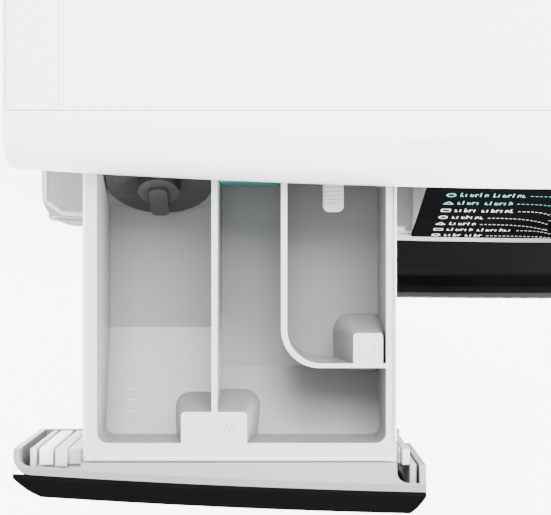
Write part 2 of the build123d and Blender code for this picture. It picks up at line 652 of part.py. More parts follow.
LOCK_BODY = 28.0
LOCK_POCKET = 24.0
with BuildPart() as door_lock:
    lock_front = back(PANEL_DEPTH + SHEET) + PANEL_GAP
    box(LOCK_X - SLOT_HALF - PLASTIC, LOCK_X + SLOT_HALF + PLASTIC, lock_front,
        lock_front + LOCK_BODY, AXIS_Z - LOCK_HALF, AXIS_Z + LOCK_HALF)
    box(LOCK_X - SLOT_HALF, LOCK_X + SLOT_HALF, lock_front - GAP, lock_front + LOCK_POCKET,
        AXIS_Z - HOOK_HALF - 2 * GAP, AXIS_Z + HOOK_HALF + 2 * GAP, mode=Mode.SUBTRACT)

keep(door_lock, "door_lock")

with BuildPart() as door_hinge_bracket:
    plate_rear = back(PANEL_DEPTH)
    box(HINGE_X - KNUCKLE, HINGE_X + 8 * KNUCKLE, plate_rear - 2 * SHEET, plate_rear,
        AXIS_Z - HINGE_HALF, AXIS_Z + HINGE_HALF)
    for lug_z in (AXIS_Z - HINGE_HALF, AXIS_Z + HINGE_HALF - 2 * KNUCKLE):
        box(HINGE_X - KNUCKLE, HINGE_X + KNUCKLE, back(HINGE_DEPTH), plate_rear - SHEET, lug_z,
            lug_z + 2 * KNUCKLE)
        post(HINGE_X, back(HINGE_DEPTH), lug_z, lug_z + 2 * KNUCKLE, KNUCKLE)
    post(HINGE_X, back(HINGE_DEPTH), AXIS_Z - HINGE_HALF, AXIS_Z + HINGE_HALF, PIN_RADIUS)

keep(door_hinge_bracket, "door_hinge_bracket")

# ---------------------------------------------------------------- service flap, pump and filter
with BuildPart() as filter_flap:
    flap_front = back(PANEL_DEPTH) - SHEET
    box(PUMP_X - FLAP_WIDTH / 2 + SEAM, PUMP_X + FLAP_WIDTH / 2 - SEAM, flap_front,
        flap_front + FLAP_THICK, PUMP_Z - FLAP_HEIGHT / 2 + SEAM, PUMP_Z + FLAP_HEIGHT / 2 - SEAM)
    box(PUMP_X + FLAP_WIDTH / 2 - FLAP_GRIP, PUMP_X + FLAP_WIDTH / 2, flap_front - GAP,
        flap_front + FLAP_THICK / 2, PUMP_Z - FLAP_GRIP, PUMP_Z + FLAP_GRIP, mode=Mode.SUBTRACT)
    post(FLAP_HINGE_X, back(FLAP_HINGE_DEPTH), PUMP_Z - FLAP_HEIGHT / 2 + SEAM,
         PUMP_Z + FLAP_HEIGHT / 2 - SEAM, 2 * FLAP_PIN)
    post(FLAP_HINGE_X, back(FLAP_HINGE_DEPTH), 0, AXIS_Z, FLAP_PIN + RUNNING,
         Mode.SUBTRACT)

keep(filter_flap, "filter_flap")

FILTER_RADIUS = 30.0
PUMP_FRONT = 22.0  # depth of the filter housing's mouth
PUMP_REAR = 185.0
PUMP_STEP = 148.0  # depth where the housing narrows to the pump motor
PUMP_NARROW = 4.0
CAP_FRONT = 19.0
SUMP_DEPTH = 118.0
SUMP_RADIUS = 17.0
SUMP_RISE = 14.0  # height of the inlet above the housing
HOSE_WALL = 3.0
OUTLET_OFFSET = 50.0  # outlet's distance left of the pump
OUTLET_RADIUS = 11.0
OUTLET_REAR = 178.0
ELBOW_HALF = 20.0
ELBOW_DEPTH = 13.0  # elbow's middle behind the sump inlet
with BuildPart() as drain_pump:
    disc(back(PUMP_FRONT), back(PUMP_STEP), FILTER_RADIUS, PUMP_X, PUMP_Z)
    disc(back(PUMP_STEP), back(PUMP_REAR), FILTER_RADIUS - PUMP_NARROW, PUMP_X, PUMP_Z)
    post(PUMP_X, back(SUMP_DEPTH), PUMP_Z, PUMP_Z + FILTER_RADIUS + SUMP_RISE, SUMP_RADIUS)
    outlet_x = PUMP_X - OUTLET_OFFSET
    elbow = SUMP_DEPTH + ELBOW_DEPTH
    box(outlet_x - OUTLET_RADIUS, PUMP_X - ELBOW_HALF, back(elbow - OUTLET_RADIUS),
        back(elbow + OUTLET_RADIUS), PUMP_Z - OUTLET_RADIUS, PUMP_Z + OUTLET_RADIUS)
    disc(back(elbow + OUTLET_RADIUS), back(OUTLET_REAR), OUTLET_RADIUS, outlet_x, PUMP_Z)
    disc(back(elbow), back(OUTLET_REAR + GAP), OUTLET_RADIUS - PLASTIC, outlet_x, PUMP_Z,
         Mode.SUBTRACT)
    disc(back(PUMP_FRONT - GAP), back(elbow + OUTLET_RADIUS), FILTER_RADIUS - PLASTIC, PUMP_X,
         PUMP_Z, Mode.SUBTRACT)
    post(PUMP_X, back(SUMP_DEPTH), PUMP_Z, PUMP_Z + FILTER_RADIUS + SUMP_RISE + GAP,
         SUMP_RADIUS - PLASTIC, Mode.SUBTRACT)
    for pedestal in PEDESTALS:
        box(PUMP_X - PEDESTAL_HALF, PUMP_X + PEDESTAL_HALF, back(pedestal),
            back(pedestal + PEDESTAL_LENGTH), BASE_HIGH, PUMP_Z - FILTER_RADIUS + GAP)

keep(drain_pump, "drain_pump")

CAP_LENGTH = 40.0
CAP_FLOOR = 6.0
CAP_GRIP_HALF = 20.0
with BuildPart() as filter_cap:
    disc(back(PUMP_FRONT), back(PUMP_FRONT + CAP_LENGTH), FILTER_RADIUS - PLASTIC - RUNNING,
         PUMP_X, PUMP_Z)
    disc(back(PUMP_FRONT + CAP_FLOOR), back(PUMP_FRONT + CAP_LENGTH + GAP),
         FILTER_RADIUS - 3 * PLASTIC, PUMP_X, PUMP_Z, Mode.SUBTRACT)
    disc(back(CAP_FRONT), back(PUMP_FRONT - SEAM), FILTER_RADIUS - PLASTIC, PUMP_X, PUMP_Z)
    box(PUMP_X - CAP_GRIP_HALF, PUMP_X + CAP_GRIP_HALF, back(CAP_FRONT - 2 * GAP),
        back(CAP_FRONT), PUMP_Z - PLASTIC, PUMP_Z + PLASTIC)
    disc(back(PUMP_FRONT - SEAM), back(PUMP_FRONT), FILTER_RADIUS - 3 * PLASTIC, PUMP_X, PUMP_Z)

keep(filter_cap, "filter_cap")

# ---------------------------------------------------------------- detergent drawer
TRAY_FRONT = 42.4  # depths of the tray with the drawer closed
TRAY_LENGTH = 208.0
TRAY_REAR = TRAY_FRONT + TRAY_LENGTH
TRAY_SKIN = 2.4
FLANGE_DROP = 2.6
RIM = 5.0
WASH = (TRAY_LEFT + 6.7, TRAY_LEFT + 61.4)  # left and right walls of the wash compartment
PARTITION = (WASH[1], WASH[1] + 2.9)
PREWASH_WALL = (TRAY_LEFT + 94.6, TRAY_LEFT + 97.6)
PREWASH_FRONT = 87.1  # front face of the prewash compartment's front wall
PREWASH_WALL_THICK = 2.2
PREWASH_CORNER = 18.5
INNER_FRONT = 51.3
POCKET_ROUND = 5.0
RAMP_REAR = 104.0
RAMP_HIGH = 20.0
# key blocks: left, right, front, rear
CENTRE_BLOCK = (TRAY_LEFT + 46.9, TRAY_LEFT + 78.4, 51.3, 66.1)
PREWASH_BLOCK = (TRAY_RIGHT - 20.6, TRAY_RIGHT - 6.5, 89.3, 103.8)
BLOCK_DRAFT = 8.0
DIAL_DEPTH = 181.0
DIAL_Z = HEIGHT - 59.0
DIAL_LEAN = 33.0
DIAL_RADIUS = (WASH[1] - WASH[0]) / 2 - 0.85
DIAL_THICK = 4.0
DIAL_HUB = 11.0
DIAL_HUB_HIGH = 6.0
DIAL_SPINDLE = 4.0
WEB_THICK = 3.0
TAB_WIDTH = 10.0
TAB_ASIDE = 1.2  # tab's middle, left of its compartment's middle
TAB_X = (PREWASH_WALL[1] + TRAY_RIGHT - RIM) / 2 - TAB_ASIDE
TAB = (TAB_X - TAB_WIDTH / 2, TAB_X + TAB_WIDTH / 2)
TAB_FRONT = 161.9
TAB_REAR = 224.0
TAB_TOP = HEIGHT - 38.0
TAB_THICK = 3.0
TAB_HINGE = 218.0
TAB_PIN = 2.0
SIPHON_FRONT = 176.9
SIPHON_PIPE = 9.0
SIPHON_BEHIND = 30.0  # pipe's distance behind the front of the insert
OUTLET_X = (TRAY_LEFT + TRAY_RIGHT) / 2
SPIGOT_DROP = 11.0
OUTLET_PIPE = 17.0  # outside radius of the spigot under the dispenser
OUTLET_DROP = 12.0
OUTLET_BEHIND = 34.0  # spigot's distance in front of the dispenser's rear
RIB_PITCH = 1.95
RIB_COUNT = 16


def drawn(depth):
    """Y of a drawer piece, from its depth with the drawer closed."""
    return back(depth) - DRAWER_OPEN


def pocket(x0, x1, front, rear, floor, corner):
    """A compartment with rounded upright corners, cut from a floor to above the rim."""
    with BuildSketch(Plane.XY.offset(floor)) as plan:
        with Locations(((x0 + x1) / 2, drawn((front + rear) / 2))):
            RectangleRounded(x1 - x0, rear - front, corner)
    extrude(plan.sketch, amount=HEIGHT - floor, mode=Mode.SUBTRACT)


def drafted_block(x0, x1, front, rear, top, floor):
    """A block whose sides flare out towards the floor."""
    with BuildSketch(Plane.XY.offset(top)) as plan:
        with Locations(((x0 + x1) / 2, drawn((front + rear) / 2))):
            RectangleRounded(x1 - x0, rear - front, PLASTIC - EASE)
    extrude(plan.sketch, amount=floor - top, taper=-BLOCK_DRAFT)


COMPARTMENT_FLOOR = TRAY_FLOOR + TRAY_SKIN
COMPARTMENT_REAR = TRAY_REAR - TRAY_SKIN


def prewash_plan(inset, right, rear):
    """Plan of the prewash compartment, inset from the outside of its own two walls."""
    left = PREWASH_WALL[0] + inset * (PREWASH_WALL[1] - PREWASH_WALL[0]) / PREWASH_WALL_THICK
    front = PREWASH_FRONT + inset
    with BuildSketch(Plane.XY.offset(COMPARTMENT_FLOOR)) as plan:
        with Locations(((left + right) / 2, drawn((front + rear) / 2))):
            Rectangle(right - left, rear - front)
        fillet(plan.vertices().group_by(Axis.Y)[0].sort_by(Axis.X)[0], PREWASH_CORNER - inset)
    return plan.sketch


def softener_plan():
    """Plan of the softener compartment, which runs round the prewash compartment's front."""
    right = TRAY_RIGHT - RIM
    with BuildSketch(Plane.XY.offset(COMPARTMENT_FLOOR)) as plan:
        with Locations(((PARTITION[1] + right) / 2, drawn((INNER_FRONT + COMPARTMENT_REAR) / 2))):
            RectangleRounded(right - PARTITION[1], COMPARTMENT_REAR - INNER_FRONT, POCKET_ROUND)
        add(prewash_plan(0, TRAY_RIGHT, TRAY_REAR), mode=Mode.SUBTRACT)
    return plan.sketch


with BuildPart() as tray_outside:
    box(TRAY_LEFT + RIM - TRAY_SKIN, TRAY_RIGHT - RIM + TRAY_SKIN, drawn(TRAY_FRONT),
        drawn(TRAY_REAR), TRAY_FLOOR, TRAY_TOP)
    fillet(tray_outside.edges().filter_by(Axis.Z), POCKET_ROUND)
    fillet(tray_outside.edges().group_by(Axis.Z)[0], POCKET_ROUND - EASE)
    box(TRAY_LEFT, TRAY_RIGHT, drawn(TRAY_FRONT), drawn(TRAY_REAR), TRAY_TOP - FLANGE_DROP,
        TRAY_TOP)

with BuildPart() as drawer_tray:
    add(tray_outside.part)
    pocket(WASH[0], WASH[1], INNER_FRONT, COMPARTMENT_REAR, COMPARTMENT_FLOOR, POCKET_ROUND)
    extrude(softener_plan(), amount=HEIGHT - COMPARTMENT_FLOOR, mode=Mode.SUBTRACT)
    extrude(prewash_plan(PREWASH_WALL_THICK, TRAY_RIGHT - RIM, COMPARTMENT_REAR),
            amount=HEIGHT - COMPARTMENT_FLOOR, mode=Mode.SUBTRACT)
    drafted_block(*CENTRE_BLOCK[:2], CENTRE_BLOCK[2] - PLASTIC, CENTRE_BLOCK[3], TRAY_TOP,
                  COMPARTMENT_FLOOR - GAP)
    drafted_block(*PREWASH_BLOCK[:2], PREWASH_BLOCK[2] - GAP, PREWASH_BLOCK[3], TRAY_TOP,
                  COMPARTMENT_FLOOR - GAP)
    for left, right, rear in (
        (WASH[0] - GAP, WASH[1] + GAP, RAMP_REAR),
        (PARTITION[1] - GAP, TRAY_RIGHT - RIM + GAP, PREWASH_FRONT - PLASTIC),
    ):
        with BuildSketch(Plane.YZ.offset(left)) as ramp:
            with BuildLine():
                Polyline(
                    (drawn(INNER_FRONT - GAP), COMPARTMENT_FLOOR - GAP),
                    (drawn(rear), COMPARTMENT_FLOOR - GAP),
                    (drawn(rear), COMPARTMENT_FLOOR),
                    (drawn(INNER_FRONT - GAP), COMPARTMENT_FLOOR + RAMP_HIGH),
                    close=True,
                )
            make_face()
        extrude(ramp.sketch, amount=right - left)
    with BuildSketch(tilted((sum(WASH) / 2, drawn(DIAL_DEPTH), DIAL_Z), DIAL_LEAN)) as web:
        Rectangle(WASH[1] - WASH[0] + GAP, 2 * DIAL_RADIUS - 2 * GAP)
        Circle(DIAL_SPINDLE + RUNNING, mode=Mode.SUBTRACT)
    extrude(web.sketch, amount=-WEB_THICK)
    for lug in (TAB[0] - SEAM - TRAY_SKIN, TAB[1] + SEAM):
        box(lug, lug + TRAY_SKIN, drawn(TAB_HINGE - 2 * PLASTIC), drawn(COMPARTMENT_REAR + GAP),
            COMPARTMENT_FLOOR - GAP, TAB_TOP + GAP)
    with Locations(Location((TAB_X, drawn(TAB_HINGE), TAB_TOP - TAB_THICK / 2),
                            (0, 90, 0))):
        Cylinder(TAB_PIN, TAB_WIDTH + 3 * TRAY_SKIN)
    add(tray_outside.part, mode=Mode.INTERSECT)

keep(drawer_tray, "drawer_tray")

with BuildPart() as softener_siphon:
    box(PARTITION[1] + SEAM, PREWASH_WALL[0] - SEAM, drawn(SIPHON_FRONT),
        drawn(COMPARTMENT_REAR - PLASTIC), TAB_TOP - PLASTIC, TAB_TOP)
    fillet(softener_siphon.edges().filter_by(Axis.Z), PLASTIC)
    box(PARTITION[1] + SEAM, PREWASH_WALL[0] - SEAM, drawn(SIPHON_FRONT),
        drawn(SIPHON_FRONT + PLASTIC), COMPARTMENT_FLOOR + GAP, TAB_TOP)
    pipe_x = (PARTITION[1] + PREWASH_WALL[0]) / 2
    pipe_y = drawn(SIPHON_FRONT + SIPHON_BEHIND)
    post(pipe_x, pipe_y, COMPARTMENT_FLOOR + PLASTIC, TAB_TOP, SIPHON_PIPE)
    post(pipe_x, pipe_y, COMPARTMENT_FLOOR, TAB_TOP - PLASTIC, SIPHON_PIPE - 2 * GAP,
         Mode.SUBTRACT)

keep(softener_siphon, "softener_siphon")

with BuildPart() as detergent_dial:
    dial_plane = tilted((sum(WASH) / 2, drawn(DIAL_DEPTH), DIAL_Z), DIAL_LEAN)
    with BuildSketch(dial_plane.offset(SEAM)) as dial_face:
        RegularPolygon(DIAL_RADIUS, 4, major_radius=False, rotation=45)
        Circle(DIAL_RADIUS * 1.02, mode=Mode.INTERSECT)
    extrude(dial_face.sketch, amount=DIAL_THICK)
    rim = detergent_dial.edges().group_by(lambda e: dial_plane.to_local_coords(e.center()).Z)[-1]
    fillet(rim, EASE / 2)
    with BuildSketch(dial_plane.offset(SEAM)) as hub_face:
        Circle(DIAL_HUB)
    extrude(hub_face.sketch, amount=DIAL_THICK + DIAL_HUB_HIGH, taper=4)
    with BuildSketch(dial_plane.offset(SEAM)) as bar_face:
        with Locations((0, -DIAL_HUB / 2 - GAP)):
            RectangleRounded(DIAL_HUB - 2 * GAP, 2 * DIAL_HUB, PLASTIC)
    extrude(bar_face.sketch, amount=DIAL_THICK + DIAL_HUB_HIGH + 2 * GAP)
    with BuildSketch(dial_plane.offset(SEAM)) as spindle_face:
        Circle(DIAL_SPINDLE)
    extrude(spindle_face.sketch, amount=-(WEB_THICK + 2 * GAP))

keep(detergent_dial, "detergent_dial")

with BuildPart() as release_tab:
    with BuildSketch(Plane.XY.offset(TAB_TOP)) as tab_face:
        with Locations((TAB_X, drawn((TAB_FRONT + TAB_REAR) / 2))):
            RectangleRounded(TAB_WIDTH, TAB_REAR - TAB_FRONT, PLASTIC)
    extrude(tab_face.sketch, amount=-TAB_THICK)
    with Locations(Location((TAB_X, drawn(TAB_HINGE), TAB_TOP - TAB_THICK / 2),
                            (0, 90, 0))):
        Cylinder(2 * TAB_PIN, TAB_WIDTH)
        Cylinder(TAB_PIN + RUNNING, TAB_WIDTH + GAP, mode=Mode.SUBTRACT)
    for rib in range(RIB_COUNT):
        rib_y = drawn(TAB_FRONT + PLASTIC + RIB_PITCH * rib)
        box(TAB[0] + GAP, TAB[1] - GAP, rib_y, rib_y + GAP, TAB_TOP, TAB_TOP + SEAM)

keep(release_tab, "release_tab")


def drawer_block(inset, rear, low, high, left, right):
    """Solid behind the drawer glass between two heights, its left corner rounded."""
    with BuildPart() as block:
        sweep_bow(glass_face(GLASS_THICK + inset, HALF, -DRAWER_OPEN), -DRAWER_OPEN)
        box(left, right, drawn(-PLASTIC), drawn(rear), low, high, mode=Mode.INTERSECT)
        corner = [e for e in block.edges() if abs(e.center().X - left) < EASE / 10]
        front = min(corner, key=lambda e: e.center().Y)
        fillet(front, CORNER - inset)
    return block.part


with BuildPart() as drawer_front:
    add(drawer_block(0, DRAWER_SIDE_BACK, SHELL_BOTTOM, DRAWER_TOP, -HALF, DRAWER_RIGHT))
    add(
        drawer_block(DRAWER_WALL, DRAWER_SIDE_BACK + GAP, SHELL_BOTTOM + DRAWER_WALL,
                     DRAWER_TOP - DRAWER_WALL, DRAWER_WALL - HALF, DRAWER_RIGHT - DRAWER_WALL),
        mode=Mode.SUBTRACT,
    )
    for left, right in (
        (DRAWER_WALL - HALF, TRAY_LEFT - SEAM),
        (TRAY_RIGHT, DRAWER_RIGHT - DRAWER_WALL),
    ):
        add(drawer_block(DRAWER_WALL + GAP, DRAWER_SIDE_BACK + GAP, DRAWER_TOP - 2 * DRAWER_WALL,
                         HEIGHT, left, right), mode=Mode.SUBTRACT)
    box(TRAY_LEFT - SEAM, TRAY_RIGHT + SEAM, drawn(TRAY_FRONT), drawn(DRAWER_SIDE_BACK + GAP),
        TRAY_FLOOR - GAP, HEIGHT, mode=Mode.SUBTRACT)
    box(DRAWER_RIGHT - 2 * DRAWER_WALL, HALF, drawn(TRAY_FRONT - GAP),
        drawn(DRAWER_SIDE_BACK + GAP), SHELL_BOTTOM - GAP, HEIGHT, mode=Mode.SUBTRACT)

keep(drawer_front, "drawer_front")

with BuildPart() as drawer_glass:
    sweep_bow(glass_face(0, GLASS_THICK, -DRAWER_OPEN), -DRAWER_OPEN)
    box(-HALF, DRAWER_RIGHT, drawn(-PLASTIC), drawn(LID_SEAM), SHELL_BOTTOM, DRAWER_TOP,
        mode=Mode.INTERSECT)

keep(drawer_glass, "drawer_glass")

with BuildPart() as dispenser_housing:
    wall = TRAY_SKIN
    left = TRAY_LEFT - TRAY_GAP
    right = TRAY_RIGHT + TRAY_GAP
    front = back(BAY_BACK + PLASTIC + SEAM)
    rear = back(TRAY_REAR) + 4 * TRAY_GAP
    box(left - wall, right + wall, front, rear, TRAY_FLOOR - 4 * PLASTIC, FRAME_LOW - SEAM)
    box(left, right, front - GAP, rear - wall, TRAY_FLOOR - 2 * TRAY_GAP,
        FRAME_LOW - SEAM - wall, mode=Mode.SUBTRACT)
    post(OUTLET_X, rear - OUTLET_BEHIND, TRAY_FLOOR - 6 * PLASTIC - OUTLET_DROP,
         TRAY_FLOOR - 4 * PLASTIC, OUTLET_PIPE)
    post(OUTLET_X, rear - OUTLET_BEHIND, TRAY_FLOOR - 6 * PLASTIC - OUTLET_DROP - GAP,
         TRAY_FLOOR, OUTLET_PIPE - PLASTIC, Mode.SUBTRACT)
    disc(rear, rear + VALVE_SPIGOT, NIPPLE_RADIUS / 2, OUTLET_X, FRAME_LOW - 2 * SPIGOT_DROP)

keep(dispenser_housing, "dispenser_housing")

# ---------------------------------------------------------------- door
CASING_FRONT = -20.0  # depths of the door, behind the lip
CASING_REAR = 4.0
RING_REAR = 8.0
CASING_WALL = 3.5
BOWL_RADIUS = PORTHOLE - 29.0
BOWL_FLANGE = PORTHOLE - 7.0
CASING_INNER = BOWL_RADIUS + 4.0
RIM_RADIUS = DOOR_RADIUS - 2.0
NECK_RADIUS = DOOR_RADIUS - 11.0
WINDOW_RADIUS = DOOR_RADIUS - 31.0
RIM_REAR = -26.0
RIM_FRONT = -30.0
WINDOW_CROWN = -33.0
WINDOW_THICK = 3.5
BOWL_DEPTH = 88.0
BOWL_WALL = 4.0
NOTCH_HALF = HINGE_HALF + 7.0
LEAF_THICK = 3.0
LEAF_RIGHT = 61.0 - DOOR_RADIUS
LEAF_FOOT = 16.0  # width of the block that holds the leaf
HANDLE_PIVOT_X = DOOR_RADIUS - 20.0
HANDLE_DEPTH = -10.0
HANDLE_HALF = 44.0
HANDLE_THICK = 3.0
HANDLE_RIGHT = DOOR_RADIUS - 2.5
HOOK_PIVOT_X = DOOR_RADIUS - 33.0
HOOK_PIVOT_DEPTH = -3.0
HOOK_PIN = 3.0
HOOK_REACH = 30.0
HOOK_BARB = 8.0


def turned_curve(*groups):
    """A ring turned about the drum axis from lines and curves through (radius, depth) points."""
    with BuildSketch(Plane.YZ) as section:
        with BuildLine():
            for kind, *points in groups:
                placed = [(back(depth), AXIS_Z + radius) for radius, depth in points]
                kind(*placed)
        make_face()
    revolve(section.sketch, axis=Axis((0, 0, AXIS_Z), (0, 1, 0)), revolution_arc=360)


CROWN_RISE = RIM_FRONT - WINDOW_CROWN
CROWN_SPHERE = (WINDOW_RADIUS**2 + CROWN_RISE**2) / (2 * CROWN_RISE)
CROWN_MID = WINDOW_CROWN + CROWN_SPHERE - sqrt(CROWN_SPHERE**2 - (WINDOW_RADIUS / 2) ** 2)
NOTCH_RIGHT = HINGE_X + 2 * KNUCKLE
with BuildPart() as door_outer_ring:
    bevel = 2 * PLASTIC
    turned_curve(
        (
            Polyline,
            (CASING_INNER, CASING_FRONT),
            (DOOR_RADIUS - bevel, CASING_FRONT),
        ),
        (
            ThreePointArc,
            (DOOR_RADIUS - bevel, CASING_FRONT),
            (DOOR_RADIUS - bevel * (1 - sqrt(0.5)), CASING_FRONT + bevel * (1 - sqrt(0.5))),
            (DOOR_RADIUS, CASING_FRONT + bevel),
        ),
        (
            Polyline,
            (DOOR_RADIUS, CASING_FRONT + bevel),
            (DOOR_RADIUS, CASING_REAR),
            (DOOR_RADIUS - CASING_WALL, CASING_REAR),
            (DOOR_RADIUS - CASING_WALL, CASING_FRONT + bevel),
            (DOOR_RADIUS - bevel, CASING_FRONT + CASING_WALL),
            (CASING_INNER + CASING_WALL, CASING_FRONT + CASING_WALL),
            (CASING_INNER + CASING_WALL, -2 * GAP),
            (CASING_INNER, -2 * GAP),
            (CASING_INNER, CASING_FRONT),
        ),
    )
    box(-HALF, NOTCH_RIGHT, back(CASING_FRONT) - GAP, back(RING_REAR), AXIS_Z - NOTCH_HALF,
        AXIS_Z + NOTCH_HALF, mode=Mode.SUBTRACT)
    box(HANDLE_RIGHT - 4 * PLASTIC, HALF, back(CASING_FRONT + CASING_WALL), back(RING_REAR),
        AXIS_Z - HANDLE_HALF - GAP, AXIS_Z + HANDLE_HALF + GAP, mode=Mode.SUBTRACT)

keep(door_outer_ring, "door_outer_ring")

with BuildPart() as door_bezel:
    ring(back(-DOOR_PROUD), back(RIM_FRONT), RIM_RADIUS - GAP, WINDOW_RADIUS + GAP)
    fillet(door_bezel.edges().group_by(Axis.Y)[0], EASE)

keep(door_bezel, "door_bezel")

with BuildPart() as door_cover:
    turned_curve(
        (
            ThreePointArc,
            (0, WINDOW_CROWN),
            (WINDOW_RADIUS / 2, CROWN_MID),
            (WINDOW_RADIUS, RIM_FRONT),
        ),
        (
            Polyline,
            (WINDOW_RADIUS, RIM_FRONT),
            (RIM_RADIUS, RIM_FRONT),
            (RIM_RADIUS, RIM_REAR),
            (NECK_RADIUS, RIM_REAR),
            (NECK_RADIUS, CASING_FRONT),
            (WINDOW_RADIUS, CASING_FRONT),
            (WINDOW_RADIUS, RIM_FRONT + WINDOW_THICK),
        ),
        (
            ThreePointArc,
            (WINDOW_RADIUS, RIM_FRONT + WINDOW_THICK),
            (WINDOW_RADIUS / 2, CROWN_MID + WINDOW_THICK),
            (0, WINDOW_CROWN + WINDOW_THICK),
        ),
        (Polyline, (0, WINDOW_CROWN + WINDOW_THICK), (0, WINDOW_CROWN)),
    )

keep(door_cover, "door_cover")

with BuildPart() as door_bowl:
    turned_curve(
        (
            Polyline,
            (BOWL_RADIUS - BOWL_WALL, -2 * GAP),
            (BOWL_FLANGE, -2 * GAP),
            (BOWL_FLANGE, CASING_REAR - SEAM),
            (BOWL_RADIUS, CASING_REAR - SEAM),
            (BOWL_RADIUS, 14),
        ),
        (
            Spline,
            (BOWL_RADIUS, 14),
            (BOWL_RADIUS - 5, 42),
            (BOWL_RADIUS - 18, 66),
            (BOWL_RADIUS - 48, 81),
            (0, BOWL_DEPTH),
        ),
        (Polyline, (0, BOWL_DEPTH), (0, BOWL_DEPTH - BOWL_WALL)),
        (
            Spline,
            (0, BOWL_DEPTH - BOWL_WALL),
            (BOWL_RADIUS - 49, 77),
            (BOWL_RADIUS - 21, 63),
            (BOWL_RADIUS - 9, 41),
            (BOWL_RADIUS - BOWL_WALL, 14),
        ),
        (Polyline, (BOWL_RADIUS - BOWL_WALL, 14), (BOWL_RADIUS - BOWL_WALL, -2 * GAP)),
    )

keep(door_bowl, "door_bowl")

with BuildPart() as door_inner_ring:
    ring(back(CASING_REAR), back(RING_REAR), DOOR_RADIUS - SEAM, BOWL_RADIUS + SEAM)
    chamfer(door_inner_ring.edges().group_by(Axis.Y)[-1].sort_by(SortBy.LENGTH)[-1], PLASTIC)
    box(LEAF_RIGHT - LEAF_FOOT, LEAF_RIGHT, back(HINGE_DEPTH) + KNUCKLE, back(CASING_REAR) + GAP,
        AXIS_Z - LEAF_HALF, AXIS_Z + LEAF_HALF)
    box(-HALF, LEAF_RIGHT - LEAF_FOOT - GAP, back(CASING_FRONT), back(RING_REAR) + GAP,
        AXIS_Z - NOTCH_HALF, AXIS_Z + NOTCH_HALF, mode=Mode.SUBTRACT)
    box(HOOK_PIVOT_X - 2 * KNUCKLE, LOCK_X + SLOT_HALF - 4 * GAP, back(CASING_REAR) - GAP,
        back(RING_REAR) + GAP, AXIS_Z - HOOK_HALF - GAP, AXIS_Z + HOOK_HALF + GAP,
        mode=Mode.SUBTRACT)
    box(HANDLE_RIGHT - 4 * PLASTIC, HALF, back(CASING_REAR) - GAP, back(RING_REAR) + GAP,
        AXIS_Z - HANDLE_HALF - GAP, AXIS_Z + HANDLE_HALF + GAP, mode=Mode.SUBTRACT)
    for end in (-1, 1):
        z0 = AXIS_Z + end * (HANDLE_HALF + 2 * GAP)
        z1 = AXIS_Z + end * (HANDLE_HALF + 8 * GAP)
        box(HANDLE_PIVOT_X - KNUCKLE, HANDLE_PIVOT_X + KNUCKLE, back(HANDLE_DEPTH) - KNUCKLE,
            back(CASING_REAR) + GAP, min(z0, z1), max(z0, z1))
        z0 = AXIS_Z + end * (HOOK_HALF + GAP)
        z1 = AXIS_Z + end * (HOOK_HALF + 7 * GAP)
        box(HOOK_PIVOT_X - KNUCKLE, HOOK_PIVOT_X + KNUCKLE, back(HOOK_PIVOT_DEPTH) - KNUCKLE + GAP,
            back(CASING_REAR) + GAP, min(z0, z1), max(z0, z1))
    post(HANDLE_PIVOT_X, back(HANDLE_DEPTH), 0, HEIGHT, HOOK_PIN + RUNNING, Mode.SUBTRACT)
    post(HOOK_PIVOT_X, back(HOOK_PIVOT_DEPTH), 0, HEIGHT, HOOK_PIN + RUNNING, Mode.SUBTRACT)

keep(door_inner_ring, "door_inner_ring")

with BuildPart() as door_hinge_leaf:
    leaf_front = back(HINGE_DEPTH) + KNUCKLE - LEAF_THICK
    post(HINGE_X, back(HINGE_DEPTH), AXIS_Z - LEAF_HALF, AXIS_Z + LEAF_HALF, KNUCKLE)
    box(HINGE_X, LEAF_RIGHT, leaf_front, leaf_front + LEAF_THICK, AXIS_Z - LEAF_HALF,
        AXIS_Z + LEAF_HALF)
    post(HINGE_X, back(HINGE_DEPTH), 0, HEIGHT, PIN_RADIUS + RUNNING, Mode.SUBTRACT)

keep(door_hinge_leaf, "door_hinge_leaf")

with BuildPart() as door_handle:
    handle_y = back(HANDLE_DEPTH)
    box(HANDLE_PIVOT_X, HANDLE_RIGHT, handle_y - HANDLE_THICK / 2, handle_y + HANDLE_THICK / 2,
        AXIS_Z - HANDLE_HALF, AXIS_Z + HANDLE_HALF)
    post(HANDLE_PIVOT_X, handle_y, AXIS_Z - HANDLE_HALF, AXIS_Z + HANDLE_HALF, KNUCKLE)
    fillet(door_handle.edges().filter_by(Axis.Z).group_by(Axis.X)[-1], EASE)
    post(HANDLE_PIVOT_X, handle_y, AXIS_Z - HANDLE_HALF - 7 * GAP, AXIS_Z + HANDLE_HALF + 7 * GAP,
         HOOK_PIN)

keep(door_handle, "door_handle")

with BuildPart() as door_hook:
    pivot_y = back(HOOK_PIVOT_DEPTH)
    tip_y = back(HOOK_REACH)
    with BuildSketch(Plane.XY.offset(AXIS_Z - HOOK_HALF)) as hook_plan:
        with BuildLine():
            Polyline(
                (HOOK_PIVOT_X - KNUCKLE + GAP, pivot_y),
                (HOOK_PIVOT_X + KNUCKLE - GAP, pivot_y),
                (HOOK_PIVOT_X + KNUCKLE, tip_y - HOOK_BARB),
                (HOOK_PIVOT_X + 3 * KNUCKLE, tip_y - HOOK_BARB),
                (HOOK_PIVOT_X + KNUCKLE, tip_y),
                (HOOK_PIVOT_X - KNUCKLE + GAP, tip_y),
                close=True,
            )
        make_face()
    extrude(hook_plan.sketch, amount=2 * HOOK_HALF)
    post(HOOK_PIVOT_X, pivot_y, AXIS_Z - HOOK_HALF, AXIS_Z + HOOK_HALF, KNUCKLE)
    post(HOOK_PIVOT_X, pivot_y, AXIS_Z - HOOK_HALF - 6 * GAP, AXIS_Z + HOOK_HALF + 6 * GAP,
         HOOK_PIN)

keep(door_hook, "door_hook")

